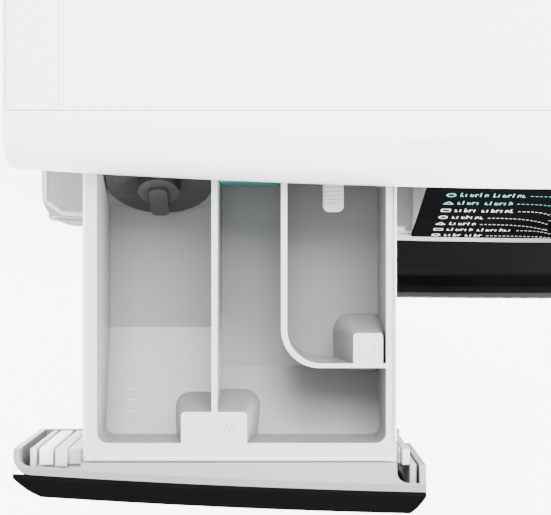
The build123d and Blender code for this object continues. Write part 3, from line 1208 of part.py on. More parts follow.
# ---------------------------------------------------------------- suspended tub
TUB_SPLIT = 200.0
NECK_INNER = PORTHOLE - 10.0
NECK_FRONT = 60.0
TUB_BACK_WALL = 5.0
TUB_RIB = 16.0
HUB_RADIUS = 45.0
HUB_REAR = 460.0
HUB_FRONT = 402.0
BEARING_OUTER = 31.0
BEARING_WIDTH = 16.0
BEARING_DEPTHS = (404.0, 442.0)
SHAFT_RADIUS = 15.0
SHAFT_REAR = 500.0
PULLEY_FRONT = 478.0
PULLEY_WIDTH = 14.0
PULLEY_RADIUS = 140.0
MOTOR_X = 140.0
MOTOR_RADIUS = 55.0
MOTOR_DROP = 66.8  # motor axis below the tub's skin
MOTOR_Z = AXIS_Z - sqrt(TUB_RADIUS**2 - MOTOR_X**2) - MOTOR_DROP
MOTOR_SOCKET = 28.0  # how far the rotor shaft reaches into the motor
MOTOR_FRONT = 320.0
MOTOR_REAR = 455.0
MOTOR_PULLEY = 11.0
MOTOR_SHAFT = 8.0
BELT_THICK = 3.5
BELT_GAP = 0.3
DAMPER_X = TUB_RADIUS - 32.0
DAMPER_DEPTH = 300.0
DAMPER_CYLINDER = 14.0
DAMPER_ROD = 5.0
DAMPER_TOP = 170.0
DAMPER_SLIDE = 70.0  # how deep the rod stands in its cylinder
DAMPER_BORE = 110.0
DAMPER_PLATE = 18.0
LUG_HALF = 15.0
HEATER_RADIUS = 4.0
HEATER_X = 26.0
HEATER_RING = TUB_RADIUS - 13.0  # distance of the heater rods from the drum axis
HEATER_SEAT = 9.0  # half height of the heater's opening in the tub
HEATER_SIDE = 14.0
HEATER_REAR = 340.0
WEIGHT_FRONT = 44.0
WEIGHT_INNER = PORTHOLE + 13.0
WEIGHT_OUTER = TUB_RADIUS - 10.0
WEIGHT_LOW = 70.0  # the counterweight's ends, above the drum axis
INLET_Y = back(TRAY_REAR) + 4 * TRAY_GAP - OUTLET_BEHIND
SPIGOT_RISE = 18.0  # height of the tub's inlet above the skin beside its hose
SPIGOT_FALL = 22.0  # drop of the tub's sump below the skin beside its hose
ROOT = 12.0  # how deep a lug or spigot is sunk into the tub
HEATER_Z = AXIS_Z - HEATER_RING


def surface_z(x, side):
    """Height of the tub's outer surface at x, above (1) or below (-1) its axis."""
    return AXIS_Z + side * sqrt(TUB_RADIUS**2 - x**2)


# the skin beside each hose and the skin under the outer edge of its spigot
INLET_SKIN = surface_z(abs(OUTLET_X) - OUTLET_PIPE - SEAM - HOSE_WALL, 1)
INLET_ROOT = surface_z(abs(OUTLET_X) + OUTLET_PIPE, 1) - ROOT
SUMP_SKIN = surface_z(PUMP_X - SUMP_RADIUS - SEAM - HOSE_WALL, -1)
SUMP_ROOT = surface_z(PUMP_X + SUMP_RADIUS, -1) + ROOT

with BuildPart() as tub_front:
    ring(back(TUB_FRONT), back(TUB_SPLIT), TUB_RADIUS, TUB_RADIUS - TUB_WALL)
    ring(back(TUB_FRONT), back(TUB_FRONT + TUB_WALL), TUB_RADIUS, NECK_INNER)
    ring(back(NECK_FRONT), back(TUB_FRONT + TUB_WALL), NECK_INNER + TUB_WALL, NECK_INNER)
    tube(PUMP_X, back(SUMP_DEPTH), SUMP_SKIN - SPIGOT_FALL, SUMP_ROOT,
         SUMP_RADIUS, SUMP_RADIUS - HOSE_WALL)
    disc(back(TUB_FRONT + TUB_WALL), back(TUB_SPLIT), TUB_RADIUS - TUB_WALL, mode=Mode.SUBTRACT)
    post(PUMP_X, back(SUMP_DEPTH), SUMP_SKIN - SPIGOT_FALL - GAP, SUMP_ROOT,
         SUMP_RADIUS - HOSE_WALL, Mode.SUBTRACT)
    box(-HEATER_X - HEATER_SIDE, HEATER_X + HEATER_SIDE, back(TUB_FRONT) - GAP,
        back(TUB_FRONT + TUB_WALL) + GAP, HEATER_Z - HEATER_SEAT, HEATER_Z + HEATER_SEAT,
        mode=Mode.SUBTRACT)

keep(tub_front, "tub_front")

with BuildPart() as tub_rear:
    ring(back(TUB_SPLIT), back(TUB_REAR), TUB_RADIUS, TUB_RADIUS - TUB_WALL)
    ring(back(TUB_REAR - TUB_BACK_WALL), back(TUB_REAR), TUB_RADIUS, SHAFT_RADIUS * 2)
    disc(back(HUB_FRONT), back(HUB_REAR), HUB_RADIUS)
    for rib_angle in range(0, 360, 30):
        with BuildSketch(along_y(back(TUB_REAR))) as rib:
            with PolarLocations((HUB_RADIUS + TUB_RADIUS) / 2 - PLASTIC, 1, start_angle=rib_angle):
                Rectangle(TUB_RADIUS - HUB_RADIUS, PLASTIC)
        extrude(rib.sketch, amount=TUB_RIB)
    for side in (-1, 1):
        x = side * DAMPER_X
        box(x - LUG_HALF, x + LUG_HALF, back(DAMPER_DEPTH) - LUG_HALF,
            back(DAMPER_DEPTH) + LUG_HALF, surface_z(DAMPER_X, -1) - ROOT,
            surface_z(DAMPER_X, -1) + LUG_HALF)
        x = side * (SPRING_X - LUG_HALF)
        box(x - LUG_HALF, x + LUG_HALF, back(SPRING_DEPTH) - LUG_HALF,
            back(SPRING_DEPTH) + LUG_HALF, surface_z(SPRING_X, 1) - ROOT, SPRING_BOTTOM)
    box(MOTOR_X - ROOT, MOTOR_X + ROOT, back(MOTOR_FRONT + LUG_HALF),
        back(MOTOR_REAR - 2 * LUG_HALF), MOTOR_Z + MOTOR_RADIUS - 2 * PLASTIC,
        surface_z(MOTOR_X, -1) + ROOT)
    disc(back(MOTOR_FRONT), back(MOTOR_REAR), MOTOR_RADIUS + RUNNING, MOTOR_X, MOTOR_Z,
         Mode.SUBTRACT)
    post(OUTLET_X, INLET_Y, INLET_ROOT, INLET_SKIN + SPIGOT_RISE, OUTLET_PIPE)
    disc(back(TUB_SPLIT), back(TUB_REAR - TUB_BACK_WALL), TUB_RADIUS - TUB_WALL,
         mode=Mode.SUBTRACT)
    disc(back(HUB_FRONT), back(TUB_REAR), HUB_RADIUS)
    disc(back(HUB_FRONT - GAP), back(HUB_REAR + GAP), BEARING_OUTER - 2 * PLASTIC, mode=Mode.SUBTRACT)
    for bearing in BEARING_DEPTHS:
        disc(back(bearing), back(bearing + BEARING_WIDTH), BEARING_OUTER, mode=Mode.SUBTRACT)
    post(OUTLET_X, INLET_Y, INLET_ROOT, INLET_SKIN + SPIGOT_RISE + GAP,
         OUTLET_PIPE - PLASTIC, Mode.SUBTRACT)

keep(tub_rear, "tub_rear")

with BuildPart() as tub_bearings:
    for bearing in BEARING_DEPTHS:
        ring(back(bearing), back(bearing + BEARING_WIDTH), BEARING_OUTER, SHAFT_RADIUS + RUNNING)

keep(tub_bearings, "tub_bearings")

with BuildPart() as heater:
    box(-HEATER_X - HEATER_SIDE + GAP, HEATER_X + HEATER_SIDE - GAP,
        back(TUB_FRONT) - 2 * HEATER_RADIUS, back(TUB_FRONT + TUB_WALL),
        HEATER_Z - HEATER_SEAT + GAP, HEATER_Z + HEATER_SEAT - GAP)
    for side in (-1, 1):
        disc(back(TUB_FRONT), back(HEATER_REAR), HEATER_RADIUS, side * HEATER_X, HEATER_Z)
    box(-HEATER_X - HEATER_RADIUS, HEATER_X + HEATER_RADIUS, back(HEATER_REAR) - HEATER_RADIUS,
        back(HEATER_REAR), HEATER_Z - HEATER_RADIUS, HEATER_Z + HEATER_RADIUS)

keep(heater, "heater")

with BuildPart() as counterweight:
    ring(back(WEIGHT_FRONT), back(TUB_FRONT), WEIGHT_OUTER, WEIGHT_INNER)
    box(-HALF, HALF, back(WEIGHT_FRONT) - GAP, back(TUB_FRONT) + GAP, 0, AXIS_Z + WEIGHT_LOW,
        mode=Mode.SUBTRACT)

keep(counterweight, "counterweight")

with BuildPart() as motor_body:
    disc(back(MOTOR_FRONT), back(MOTOR_REAR), MOTOR_RADIUS, MOTOR_X, MOTOR_Z)
    fillet(motor_body.edges().filter_by(GeomType.CIRCLE), 2 * PLASTIC)
    disc(back(MOTOR_REAR - MOTOR_SOCKET - GAP), back(MOTOR_REAR + GAP), MOTOR_SHAFT + RUNNING,
         MOTOR_X, MOTOR_Z, Mode.SUBTRACT)

keep(motor_body, "motor_body")

with BuildPart() as damper_rods:
    for side in (-1, 1):
        post(side * DAMPER_X, back(DAMPER_DEPTH), DAMPER_TOP - DAMPER_SLIDE,
             surface_z(DAMPER_X, -1) - ROOT, DAMPER_ROD)

keep(damper_rods, "damper_rods")

with BuildPart() as damper_cylinders:
    for side in (-1, 1):
        post(side * DAMPER_X, back(DAMPER_DEPTH), BASE_HIGH, DAMPER_TOP, DAMPER_CYLINDER)
        post(side * DAMPER_X, back(DAMPER_DEPTH), DAMPER_TOP - DAMPER_BORE, DAMPER_TOP + GAP,
             DAMPER_ROD + RUNNING, Mode.SUBTRACT)
        box(side * DAMPER_X - DAMPER_PLATE, side * DAMPER_X + DAMPER_PLATE,
            back(DAMPER_DEPTH) - DAMPER_PLATE, back(DAMPER_DEPTH) + DAMPER_PLATE, BASE_HIGH,
            BASE_HIGH + PLASTIC)

keep(damper_cylinders, "damper_cylinders")

with BuildPart() as tub_springs:
    for side in (-1, 1):
        tube(side * (SPRING_X - SPRING_OUTER / 2), back(SPRING_DEPTH), SPRING_BOTTOM,
             SPRING_TOP, SPRING_OUTER, SPRING_OUTER - SPRING_WIRE)

keep(tub_springs, "tub_springs")

GASKET_LINE = [
    (PORTHOLE - GAP, PANEL_DEPTH + SHEET + 3),
    (PORTHOLE - 16, PANEL_DEPTH + SHEET + 3),
    (PORTHOLE - 22, PANEL_DEPTH + 14),
    (PORTHOLE - 20, PANEL_DEPTH + 26),
    (PORTHOLE - 3, PANEL_DEPTH + 30),
    (PORTHOLE - 2, PANEL_DEPTH + 38),
    (PORTHOLE - 14, PANEL_DEPTH + 44),
]
GASKET_THICK = 2.4
HOSE_LAP = 8.0
with BuildPart() as door_gasket:
    with BuildSketch(Plane.YZ) as gasket_section:
        with BuildLine() as gasket_path:
            FilletPolyline(*[(back(d), AXIS_Z + r) for r, d in GASKET_LINE], radius=3)
        trace(gasket_path.line, GASKET_THICK)
    revolve(gasket_section.sketch, axis=Axis((0, 0, AXIS_Z), (0, 1, 0)), revolution_arc=360)
    ring(back(PANEL_DEPTH + 40), back(TUB_FRONT - GAP), NECK_INNER + TUB_WALL + 2 * GASKET_THICK,
         NECK_INNER + TUB_WALL + SEAM)
    ring(back(PANEL_DEPTH + 40), back(PANEL_DEPTH + 44), NECK_INNER + TUB_WALL + 2 * GASKET_THICK,
         PORTHOLE - 15)

keep(door_gasket, "door_gasket")


def bellows(x, y, low, high, inner, wall):
    """A soft ribbed hose between two spigots, drawn as a plain sleeve."""
    tube(x, y, low, high, inner + wall, inner)


with BuildPart() as sump_hose:
    bellows(PUMP_X, back(SUMP_DEPTH), PUMP_Z + FILTER_RADIUS + 4 * GAP, SUMP_SKIN - GAP,
            SUMP_RADIUS + SEAM, HOSE_WALL)

keep(sump_hose, "sump_hose")

with BuildPart() as dispenser_hose:
    bellows(OUTLET_X, INLET_Y, INLET_SKIN + SPIGOT_RISE - 2 * HOSE_LAP,
            TRAY_FLOOR - 6 * PLASTIC - OUTLET_DROP + HOSE_LAP, OUTLET_PIPE + SEAM, HOSE_WALL)

keep(dispenser_hose, "dispenser_hose")

# ---------------------------------------------------------------- drum and drive
DRUM_FRONT = 96.0
DRUM_REAR = 392.0
DRUM_MOUTH = 172.0
LIP_ROLL = 4.0
LIFTER_HEIGHT = 48.0
LIFTER_WIDTH = 46.0
SPIDER_THICK = 10.0
ARM_WIDTH = 44.0
with BuildPart() as drum_shell:
    ring(back(DRUM_FRONT), back(DRUM_REAR), DRUM_RADIUS, DRUM_RADIUS - DRUM_SHEET)
    disc(back(DRUM_REAR - DRUM_SHEET), back(DRUM_REAR), DRUM_RADIUS)
    ring(back(DRUM_FRONT), back(DRUM_FRONT + DRUM_SHEET), DRUM_RADIUS, DRUM_MOUTH)
    ring(back(DRUM_FRONT), back(DRUM_FRONT + LIP_ROLL), DRUM_MOUTH + LIP_ROLL, DRUM_MOUTH)

keep(drum_shell, "drum_shell")

with BuildPart() as drum_lifters:
    with BuildSketch(along_y(back(DRUM_FRONT + 30))) as lifter:
        with BuildLine():
            root = DRUM_RADIUS - DRUM_SHEET
            half_angle = degrees(LIFTER_WIDTH / root) / 2
            foot_a = (root * sin(radians(half_angle)), root * cos(radians(half_angle)))
            foot_b = (-foot_a[0], foot_a[1])
            RadiusArc(foot_b, foot_a, root)
            Spline(foot_a, (foot_a[0] / 2, root - LIFTER_HEIGHT * 0.8), (0, root - LIFTER_HEIGHT),
                   (-foot_a[0] / 2, root - LIFTER_HEIGHT * 0.8), foot_b)
        make_face()
    extrude(lifter.sketch, amount=DRUM_REAR - DRUM_FRONT - 60)

with BuildPart() as drum_lifter_group:
    for turn in (0, 120, 240):
        add(drum_lifters.part.rotate(Axis((0, 0, AXIS_Z), (0, 1, 0)), turn))

keep(drum_lifter_group, "drum_lifters")

with BuildPart() as drum_spider:
    with BuildSketch(along_y(back(DRUM_REAR))) as arms:
        Circle(HUB_RADIUS - PLASTIC)
        with PolarLocations(DRUM_RADIUS / 2, 3, start_angle=30):
            Rectangle(DRUM_RADIUS - PLASTIC, ARM_WIDTH)
        Circle(DRUM_RADIUS - GAP, mode=Mode.INTERSECT)
    extrude(arms.sketch, amount=SPIDER_THICK - SEAM)
    disc(back(DRUM_REAR), back(PULLEY_FRONT), SHAFT_RADIUS)
    disc(back(PULLEY_FRONT), back(SHAFT_REAR), SHAFT_RADIUS - PLASTIC)

keep(drum_spider, "drum_spider")

with BuildPart() as drum_pulley:
    ring(back(PULLEY_FRONT), back(PULLEY_FRONT + PULLEY_WIDTH), PULLEY_RADIUS,
         PULLEY_RADIUS - 8)
    with BuildSketch(along_y(back(PULLEY_FRONT))) as spokes:
        Circle(2 * SHAFT_RADIUS)
        with PolarLocations(PULLEY_RADIUS / 2, 6):
            Rectangle(PULLEY_RADIUS - 6, 18)
        Circle(PULLEY_RADIUS - 4, mode=Mode.INTERSECT)
        Circle(SHAFT_RADIUS - PLASTIC, mode=Mode.SUBTRACT)
    extrude(spokes.sketch, amount=PULLEY_WIDTH / 2)

keep(drum_pulley, "drum_pulley")

with BuildPart() as motor_pulley:
    disc(back(PULLEY_FRONT - GAP), back(PULLEY_FRONT + PULLEY_WIDTH + GAP), MOTOR_PULLEY,
         MOTOR_X, MOTOR_Z)
    disc(back(MOTOR_REAR - MOTOR_SOCKET), back(PULLEY_FRONT), MOTOR_SHAFT, MOTOR_X, MOTOR_Z)

keep(motor_pulley, "motor_pulley")


def belt_loop(grow):
    """Hull round the two pulleys, standing off them by a distance."""
    with BuildSketch(along_y(back(PULLEY_FRONT + GAP))) as loop:
        Circle(PULLEY_RADIUS + grow)
        with Locations((-MOTOR_X, MOTOR_Z - AXIS_Z)):
            Circle(MOTOR_PULLEY + grow)
        make_hull()
    return loop.sketch


with BuildPart() as drive_belt:
    extrude(belt_loop(BELT_GAP + BELT_THICK), amount=PULLEY_WIDTH - 2 * GAP)
    extrude(belt_loop(BELT_GAP), amount=PULLEY_WIDTH - 2 * GAP, mode=Mode.SUBTRACT)

keep(drive_belt, "drive_belt")
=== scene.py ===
"""Front load washing machine: materials, fine detail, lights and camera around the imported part."""

import json
import math

import bpy
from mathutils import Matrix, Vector
from mathutils.bvhtree import BVHTree


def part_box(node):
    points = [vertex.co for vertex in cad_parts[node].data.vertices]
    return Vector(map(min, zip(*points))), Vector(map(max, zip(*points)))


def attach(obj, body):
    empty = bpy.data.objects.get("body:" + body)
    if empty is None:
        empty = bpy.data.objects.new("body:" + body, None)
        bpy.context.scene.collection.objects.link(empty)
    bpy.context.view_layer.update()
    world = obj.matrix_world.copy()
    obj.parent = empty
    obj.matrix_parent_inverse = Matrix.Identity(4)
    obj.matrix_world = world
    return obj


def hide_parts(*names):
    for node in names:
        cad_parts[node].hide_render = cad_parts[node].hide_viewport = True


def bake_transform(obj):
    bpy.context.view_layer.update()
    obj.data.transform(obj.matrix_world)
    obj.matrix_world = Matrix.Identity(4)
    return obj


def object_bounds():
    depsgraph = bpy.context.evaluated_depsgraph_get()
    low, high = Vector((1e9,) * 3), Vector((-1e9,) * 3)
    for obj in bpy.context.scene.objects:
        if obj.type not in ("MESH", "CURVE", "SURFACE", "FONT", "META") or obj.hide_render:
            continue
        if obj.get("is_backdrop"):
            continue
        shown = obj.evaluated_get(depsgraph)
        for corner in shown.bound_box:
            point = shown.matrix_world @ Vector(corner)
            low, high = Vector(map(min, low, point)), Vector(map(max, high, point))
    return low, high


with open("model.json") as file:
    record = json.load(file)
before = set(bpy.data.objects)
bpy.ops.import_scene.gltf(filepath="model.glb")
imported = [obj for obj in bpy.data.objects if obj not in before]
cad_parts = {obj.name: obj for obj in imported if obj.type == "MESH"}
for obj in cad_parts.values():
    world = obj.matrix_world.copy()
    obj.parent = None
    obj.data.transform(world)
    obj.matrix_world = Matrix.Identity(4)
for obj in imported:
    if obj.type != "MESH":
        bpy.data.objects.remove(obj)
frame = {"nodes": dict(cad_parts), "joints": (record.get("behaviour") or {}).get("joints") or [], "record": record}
CAD_LOW, CAD_HIGH = (Vector(corner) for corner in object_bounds())

joints = {j["name"]: j for j in frame["joints"]}
DRAWER_OPEN = joints["drawer_slide"]["range_m"][1]
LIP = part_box("fascia_housing")[0].y
AXIS_Z = joints["drum_spin"]["pos_m"][2]
BOW = 4.55  # plan radius of the bowed front
MM = 0.001
INK_LIFT = 0.00006  # printed marks above their surface
MARK_LIFT = 0.0002  # moulded marks above their surface
MARK_THICK = 0.0004


def bow(x):
    """How far the bowed front falls back at x."""
    return BOW - math.sqrt(BOW * BOW - x * x)


# ------------------------------------------------------------------ materials
def new_material(name):
    made = bpy.data.materials.new(name)
    made.use_nodes = True
    return made, made.node_tree.nodes, made.node_tree.links


def finish_of(name, colour, rough, metal=0.0, spread=0.03, scale=60.0, bump=0.02, stretch=(1, 1, 1),
              clear=0.0, through=0.0, glow=None, shine=0.5, index=1.5):
    """A surface whose colour, gloss and relief vary slightly with a fine noise."""
    made, nodes, links = new_material(name)
    shader = nodes["Principled BSDF"]
    place = nodes.new("ShaderNodeTexCoord")
    mapping = nodes.new("ShaderNodeMapping")
    mapping.inputs["Scale"].default_value = stretch
    links.new(place.outputs["Object"], mapping.inputs["Vector"])
    noise = nodes.new("ShaderNodeTexNoise")
    noise.inputs["Scale"].default_value = scale
    noise.inputs["Detail"].default_value = 4.0
    links.new(mapping.outputs["Vector"], noise.inputs["Vector"])
    tint = nodes.new("ShaderNodeValToRGB")
    tint.color_ramp.elements[0].position = 0.3
    tint.color_ramp.elements[1].position = 0.7
    tint.color_ramp.elements[0].color = [max(c * (1 - spread), 0.0) for c in colour] + [1]
    tint.color_ramp.elements[1].color = [min(c * (1 + spread), 1.0) for c in colour] + [1]
    links.new(noise.outputs["Fac"], tint.inputs["Fac"])
    links.new(tint.outputs["Color"], shader.inputs["Base Color"])
    gloss = nodes.new("ShaderNodeMapRange")
    gloss.inputs["To Min"].default_value = max(rough - 0.04, 0.02)
    gloss.inputs["To Max"].default_value = rough + 0.04
    links.new(noise.outputs["Fac"], gloss.inputs["Value"])
    links.new(gloss.outputs["Result"], shader.inputs["Roughness"])
    if bump:
        relief = nodes.new("ShaderNodeBump")
        relief.inputs["Strength"].default_value = bump
        relief.inputs["Distance"].default_value = 0.0004
        links.new(noise.outputs["Fac"], relief.inputs["Height"])
        links.new(relief.outputs["Normal"], shader.inputs["Normal"])
    shader.inputs["Metallic"].default_value = metal
    shader.inputs["Specular IOR Level"].default_value = shine
    shader.inputs["IOR"].default_value = index
    shader.inputs["Coat Weight"].default_value = clear
    shader.inputs["Transmission Weight"].default_value = through
    if glow:
        shader.inputs["Emission Color"].default_value = (*glow, 1)
        shader.inputs["Emission Strength"].default_value = 1.0
    return made


M = {
    "white_steel": finish_of("white_steel", (0.84, 0.84, 0.85), 0.32, spread=0.01, scale=300, bump=0.05),
    "white_plastic": finish_of("white_plastic", (0.84, 0.84, 0.85), 0.28, spread=0.01, scale=220),
    "worktop_white": finish_of("worktop_white", (0.88, 0.88, 0.9), 0.42, spread=0.01, scale=500, bump=0.06),
    "black_glass": finish_of("black_glass", (0.003, 0.003, 0.0034), 0.16, spread=0.1, scale=40, bump=0,
                             shine=0.0),
    # Painted shade: the tray's grey is darkened to stand in for the shade inside the drawer.
    "tray_grey": finish_of("tray_grey", (0.3, 0.302, 0.307), 0.36, spread=0.015, scale=260),
    # Painted light: a paler copy of the tray's plastic, for the light on the tray's rim strips.
    "tray_rim_painted_light": finish_of("tray_rim_painted_light", (0.56, 0.56, 0.57), 0.36, spread=0.015, scale=260),
    # Painted shade: the white drawer front is given a grey colour that stands in for the shade on its sloping
    # faces.
    "drawer_painted_shade": finish_of("drawer_painted_shade", (0.175, 0.175, 0.178), 0.34, spread=0.012, scale=220),
    "dark_grey_plastic": finish_of("dark_grey_plastic", (0.0035, 0.0035, 0.004), 0.5, scale=320, bump=0.06,
                                   index=1.12),
    "dial_grey": finish_of("dial_grey", (0.032, 0.032, 0.033), 0.5, scale=400, bump=0.06),
    "teal_plastic": finish_of("teal_plastic", (0.03, 0.42, 0.36), 0.3, scale=200),
    "bezel_metal": finish_of("bezel_metal", (0.03, 0.0303, 0.0315), 0.36, metal=0.2, scale=180,
                             stretch=(1, 12, 1), index=1.25),
    "clear_glass": finish_of("clear_glass", (0.75, 0.82, 0.84), 0.05, bump=0, spread=0.02, through=0.9),
    "tinted_window": finish_of("tinted_window", (0.0025, 0.0026, 0.003), 0.1, bump=0, spread=0.05,
                               index=1.12),
    "galvanised_steel": finish_of("galvanised_steel", (0.5, 0.51, 0.52), 0.4, metal=0.9, spread=0.12,
                                  scale=35),
    "stainless_steel": finish_of("stainless_steel", (0.62, 0.62, 0.63), 0.24, metal=1.0, spread=0.06,
                                 scale=90, stretch=(1, 14, 1)),
    "cast_aluminium": finish_of("cast_aluminium", (0.55, 0.55, 0.56), 0.5, metal=0.9, spread=0.08,
                                scale=240, bump=0.2),
    "black_rubber": finish_of("black_rubber", (0.02, 0.02, 0.02), 0.75, scale=300, bump=0.1),
    "grey_rubber": finish_of("grey_rubber", (0.2, 0.2, 0.205), 0.7, scale=300, bump=0.1),
    "tub_plastic": finish_of("tub_plastic", (0.32, 0.33, 0.34), 0.55, scale=160, bump=0.1),
    "concrete": finish_of("concrete", (0.42, 0.41, 0.39), 0.9, spread=0.25, scale=70, bump=0.5),
    "motor_iron": finish_of("motor_iron", (0.08, 0.08, 0.085), 0.45, metal=0.6, scale=150, bump=0.1),
    "brass_nickel": finish_of("brass_nickel", (0.7, 0.69, 0.66), 0.22, metal=1.0, scale=90),
    "board_green": finish_of("board_green", (0.03, 0.16, 0.07), 0.45, spread=0.2, scale=140),
    "print_white": finish_of("print_white", (0.5, 0.507, 0.515), 0.5, scale=400, bump=0),
    "print_teal": finish_of("print_teal", (0.0, 0.32, 0.25), 0.5, scale=400, bump=0),
    "seam_shadow": finish_of("seam_shadow", (0.05, 0.05, 0.052), 0.7, scale=200),
    # Painted shade: this grey stands in for the shade on the clip faces that face back; the moulded marks in the
    # tray use it too.
    "clip_grey": finish_of("clip_grey", (0.46, 0.465, 0.475), 0.42, scale=260),
    "digit_glow": finish_of("digit_glow", (0.7, 0.74, 0.76), 0.5, bump=0, glow=(0.75, 0.85, 0.9)),
}


def shade_painted_below(name, below, above, level):
    """A finish with painted shade: darker below a height for the shaded inside of a moulding, and paler above it
    at the rim.
    """
    made, nodes, links = new_material(name)
    shader = nodes["Principled BSDF"]
    place = nodes.new("ShaderNodeTexCoord")
    parts = nodes.new("ShaderNodeSeparateXYZ")
    links.new(place.outputs["Object"], parts.inputs["Vector"])
    step = nodes.new("ShaderNodeMapRange")
    step.inputs["From Min"].default_value = level - 0.0008
    step.inputs["From Max"].default_value = level
    links.new(parts.outputs["Z"], step.inputs["Value"])
    noise = nodes.new("ShaderNodeTexNoise")
    noise.inputs["Scale"].default_value = 260.0
    links.new(place.outputs["Object"], noise.inputs["Vector"])
    blend = nodes.new("ShaderNodeValToRGB")
    blend.color_ramp.elements[0].color = (*below, 1)
    blend.color_ramp.elements[1].color = (*above, 1)
    links.new(step.outputs["Result"], blend.inputs["Fac"])
    links.new(blend.outputs["Color"], shader.inputs["Base Color"])
    gloss = nodes.new("ShaderNodeMapRange")
    gloss.inputs["To Min"].default_value = 0.3
    gloss.inputs["To Max"].default_value = 0.42
    links.new(noise.outputs["Fac"], gloss.inputs["Value"])
    links.new(gloss.outputs["Result"], shader.inputs["Roughness"])
    return made


# Painted shade: the drawer tray is darker below its rim, standing in for the shade inside its compartments; the
# rim keeps the paler lit colour.
M["tray_painted_shade"] = shade_painted_below("tray_painted_shade", (0.21, 0.212, 0.216), (0.43, 0.43, 0.437),
                           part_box("drawer_tray")[1].z - 0.0002)

for entry in frame["record"]["subparts"]:
    node = frame["nodes"][entry["node"]]
    node.data.materials.clear()
    node.data.materials.append(M[entry["material_slot"]])
frame["nodes"]["drawer_tray"].data.materials[0] = M["tray_painted_shade"]
# The drawer front takes the grey with painted shade.
frame["nodes"]["drawer_front"].data.materials[0] = M["drawer_painted_shade"]
# Painted shade: the fascia moulding is grey below the top of the glass, where its lip and the dispenser bay lie in
# shade, and white above.
M["fascia_painted_shade"] = shade_painted_below("fascia_painted_shade", (0.4, 0.4, 0.405), (0.84, 0.84, 0.85),
                             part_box("fascia_glass")[1].z - 0.0003)
frame["nodes"]["fascia_housing"].data.materials[0] = M["fascia_painted_shade"]


# ------------------------------------------------------------------ mesh helpers
def piece(name, verts, faces, body, finish, smooth=False, bevel=0.0):
    """A mesh piece that rides on a CAD body."""
    mesh = bpy.data.meshes.new(name)
    mesh.from_pydata([tuple(v) for v in verts], [], faces)
    mesh.validate()
    mesh.update()
    made = bpy.data.objects.new(name, mesh)
    bpy.context.scene.collection.objects.link(made)
    mesh.materials.append(M[finish])
    for face in mesh.polygons:
        face.use_smooth = smooth
    if bevel:
        edge = made.modifiers.new("edge", "BEVEL")
        edge.width = bevel
        edge.segments = 2
        edge.limit_method = "ANGLE"
    if body:
        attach(made, body)
    return made


def prism(outline, lift):
    """Vertices and faces of an outline (list of points) extruded by a vector."""
    n = len(outline)
    verts = [Vector(p) for p in outline] + [Vector(p) + Vector(lift) for p in outline]
    faces = [list(range(n))[::-1], list(range(n, 2 * n))]
    faces += [[i, (i + 1) % n, n + (i + 1) % n, n + i] for i in range(n)]
    return verts, faces


def block(name, x, y, z, body, finish, bevel=0.0006):
    """A rounded block between pairs of limits."""
    outline = [(x[0], y[0], z[0]), (x[1], y[0], z[0]), (x[1], y[1], z[0]), (x[0], y[1], z[0])]
    verts, faces = prism(outline, (0, 0, z[1] - z[0]))
    return piece(name, verts, faces, body, finish, bevel=bevel)


def sweep(path, radius, sides=10, closed=False):
    """Tube round a path of points."""
    verts, faces = [], []
    count = len(path)
    for i, point in enumerate(path):
        before = path[(i - 1) % count] if closed or i else path[0]
        after = path[(i + 1) % count] if closed or i < count - 1 else path[-1]
        along = (Vector(after) - Vector(before)).normalized()
        side = along.orthogonal() if abs(along.z) > 0.9 else along.cross(Vector((0, 0, 1)))
        side.normalize()
        up = side.cross(along)
        for k in range(sides):
            a = 2 * math.pi * k / sides
            verts.append(Vector(point) + radius * (math.cos(a) * side + math.sin(a) * up))
    last = count if closed else count - 1
    for i in range(last):
        for k in range(sides):
            j = (i + 1) % count
            m = (k + 1) % sides
            faces.append([i * sides + k, i * sides + m, j * sides + m, j * sides + k])
    if not closed:
        faces.append(list(range(sides))[::-1])
        faces.append([(count - 1) * sides + k for k in range(sides)])
    return verts, faces


def lathe(profile, centre, steps=96, axis="Y"):
    """Closed ring turned from (radius, along) points round a line through centre."""
    verts, faces = [], []
    n = len(profile)
    for i in range(steps):
        a = 2 * math.pi * i / steps
        for radius, along in profile:
            if axis == "Y":
                offset = Vector((radius * math.cos(a), along, radius * math.sin(a)))
            else:
                offset = Vector((radius * math.cos(a), radius * math.sin(a), along))
            verts.append(Vector(centre) + offset)
    for i in range(steps):
        j = (i + 1) % steps
        for k in range(n):
            m = (k + 1) % n
            faces.append([i * n + k, i * n + m, j * n + m, j * n + k])
    return verts, faces


def tree_of(node):
    """Ray target made from a CAD node."""
    mesh = frame["nodes"][node].data
    return BVHTree.FromPolygons([v.co for v in mesh.vertices], [p.vertices for p in mesh.polygons])


def on_surface(tree, point, direction, lift):
    """Point where a ray meets a surface, raised from it by lift."""
    hit, normal, _, _ = tree.ray_cast(Vector(point), Vector(direction))
    if hit is None:
        return None
    facing = normal if normal.dot(Vector(direction)) < 0 else -normal
    return hit + facing * lift


def printed(name, shapes, tree, lay, direction, lift, body, finish, thick=0.00008):
    """Flat marks, each a list of 2-D points, laid on a surface along a direction."""
    verts, faces = [], []
    for shape in shapes:
        placed = [on_surface(tree, lay(*p), direction, lift) for p in shape]
        if any(p is None for p in placed):
            continue
        under = [on_surface(tree, lay(*p), direction, lift - thick) for p in shape]
        start = len(verts)
        n = len(shape)
        verts += placed + under
        faces.append([start + i for i in range(n)])
        faces.append([start + n + i for i in range(n)][::-1])
        faces += [[start + (i + 1) % n, start + i, start + n + i, start + n + (i + 1) % n]
                  for i in range(n)]
    return piece(name, verts, faces, body, finish)


def bar(x, z, width, height):
    """Upright rectangle from its lower left corner."""
    return [(x, z), (x + width, z), (x + width, z + height), (x, z + height)]


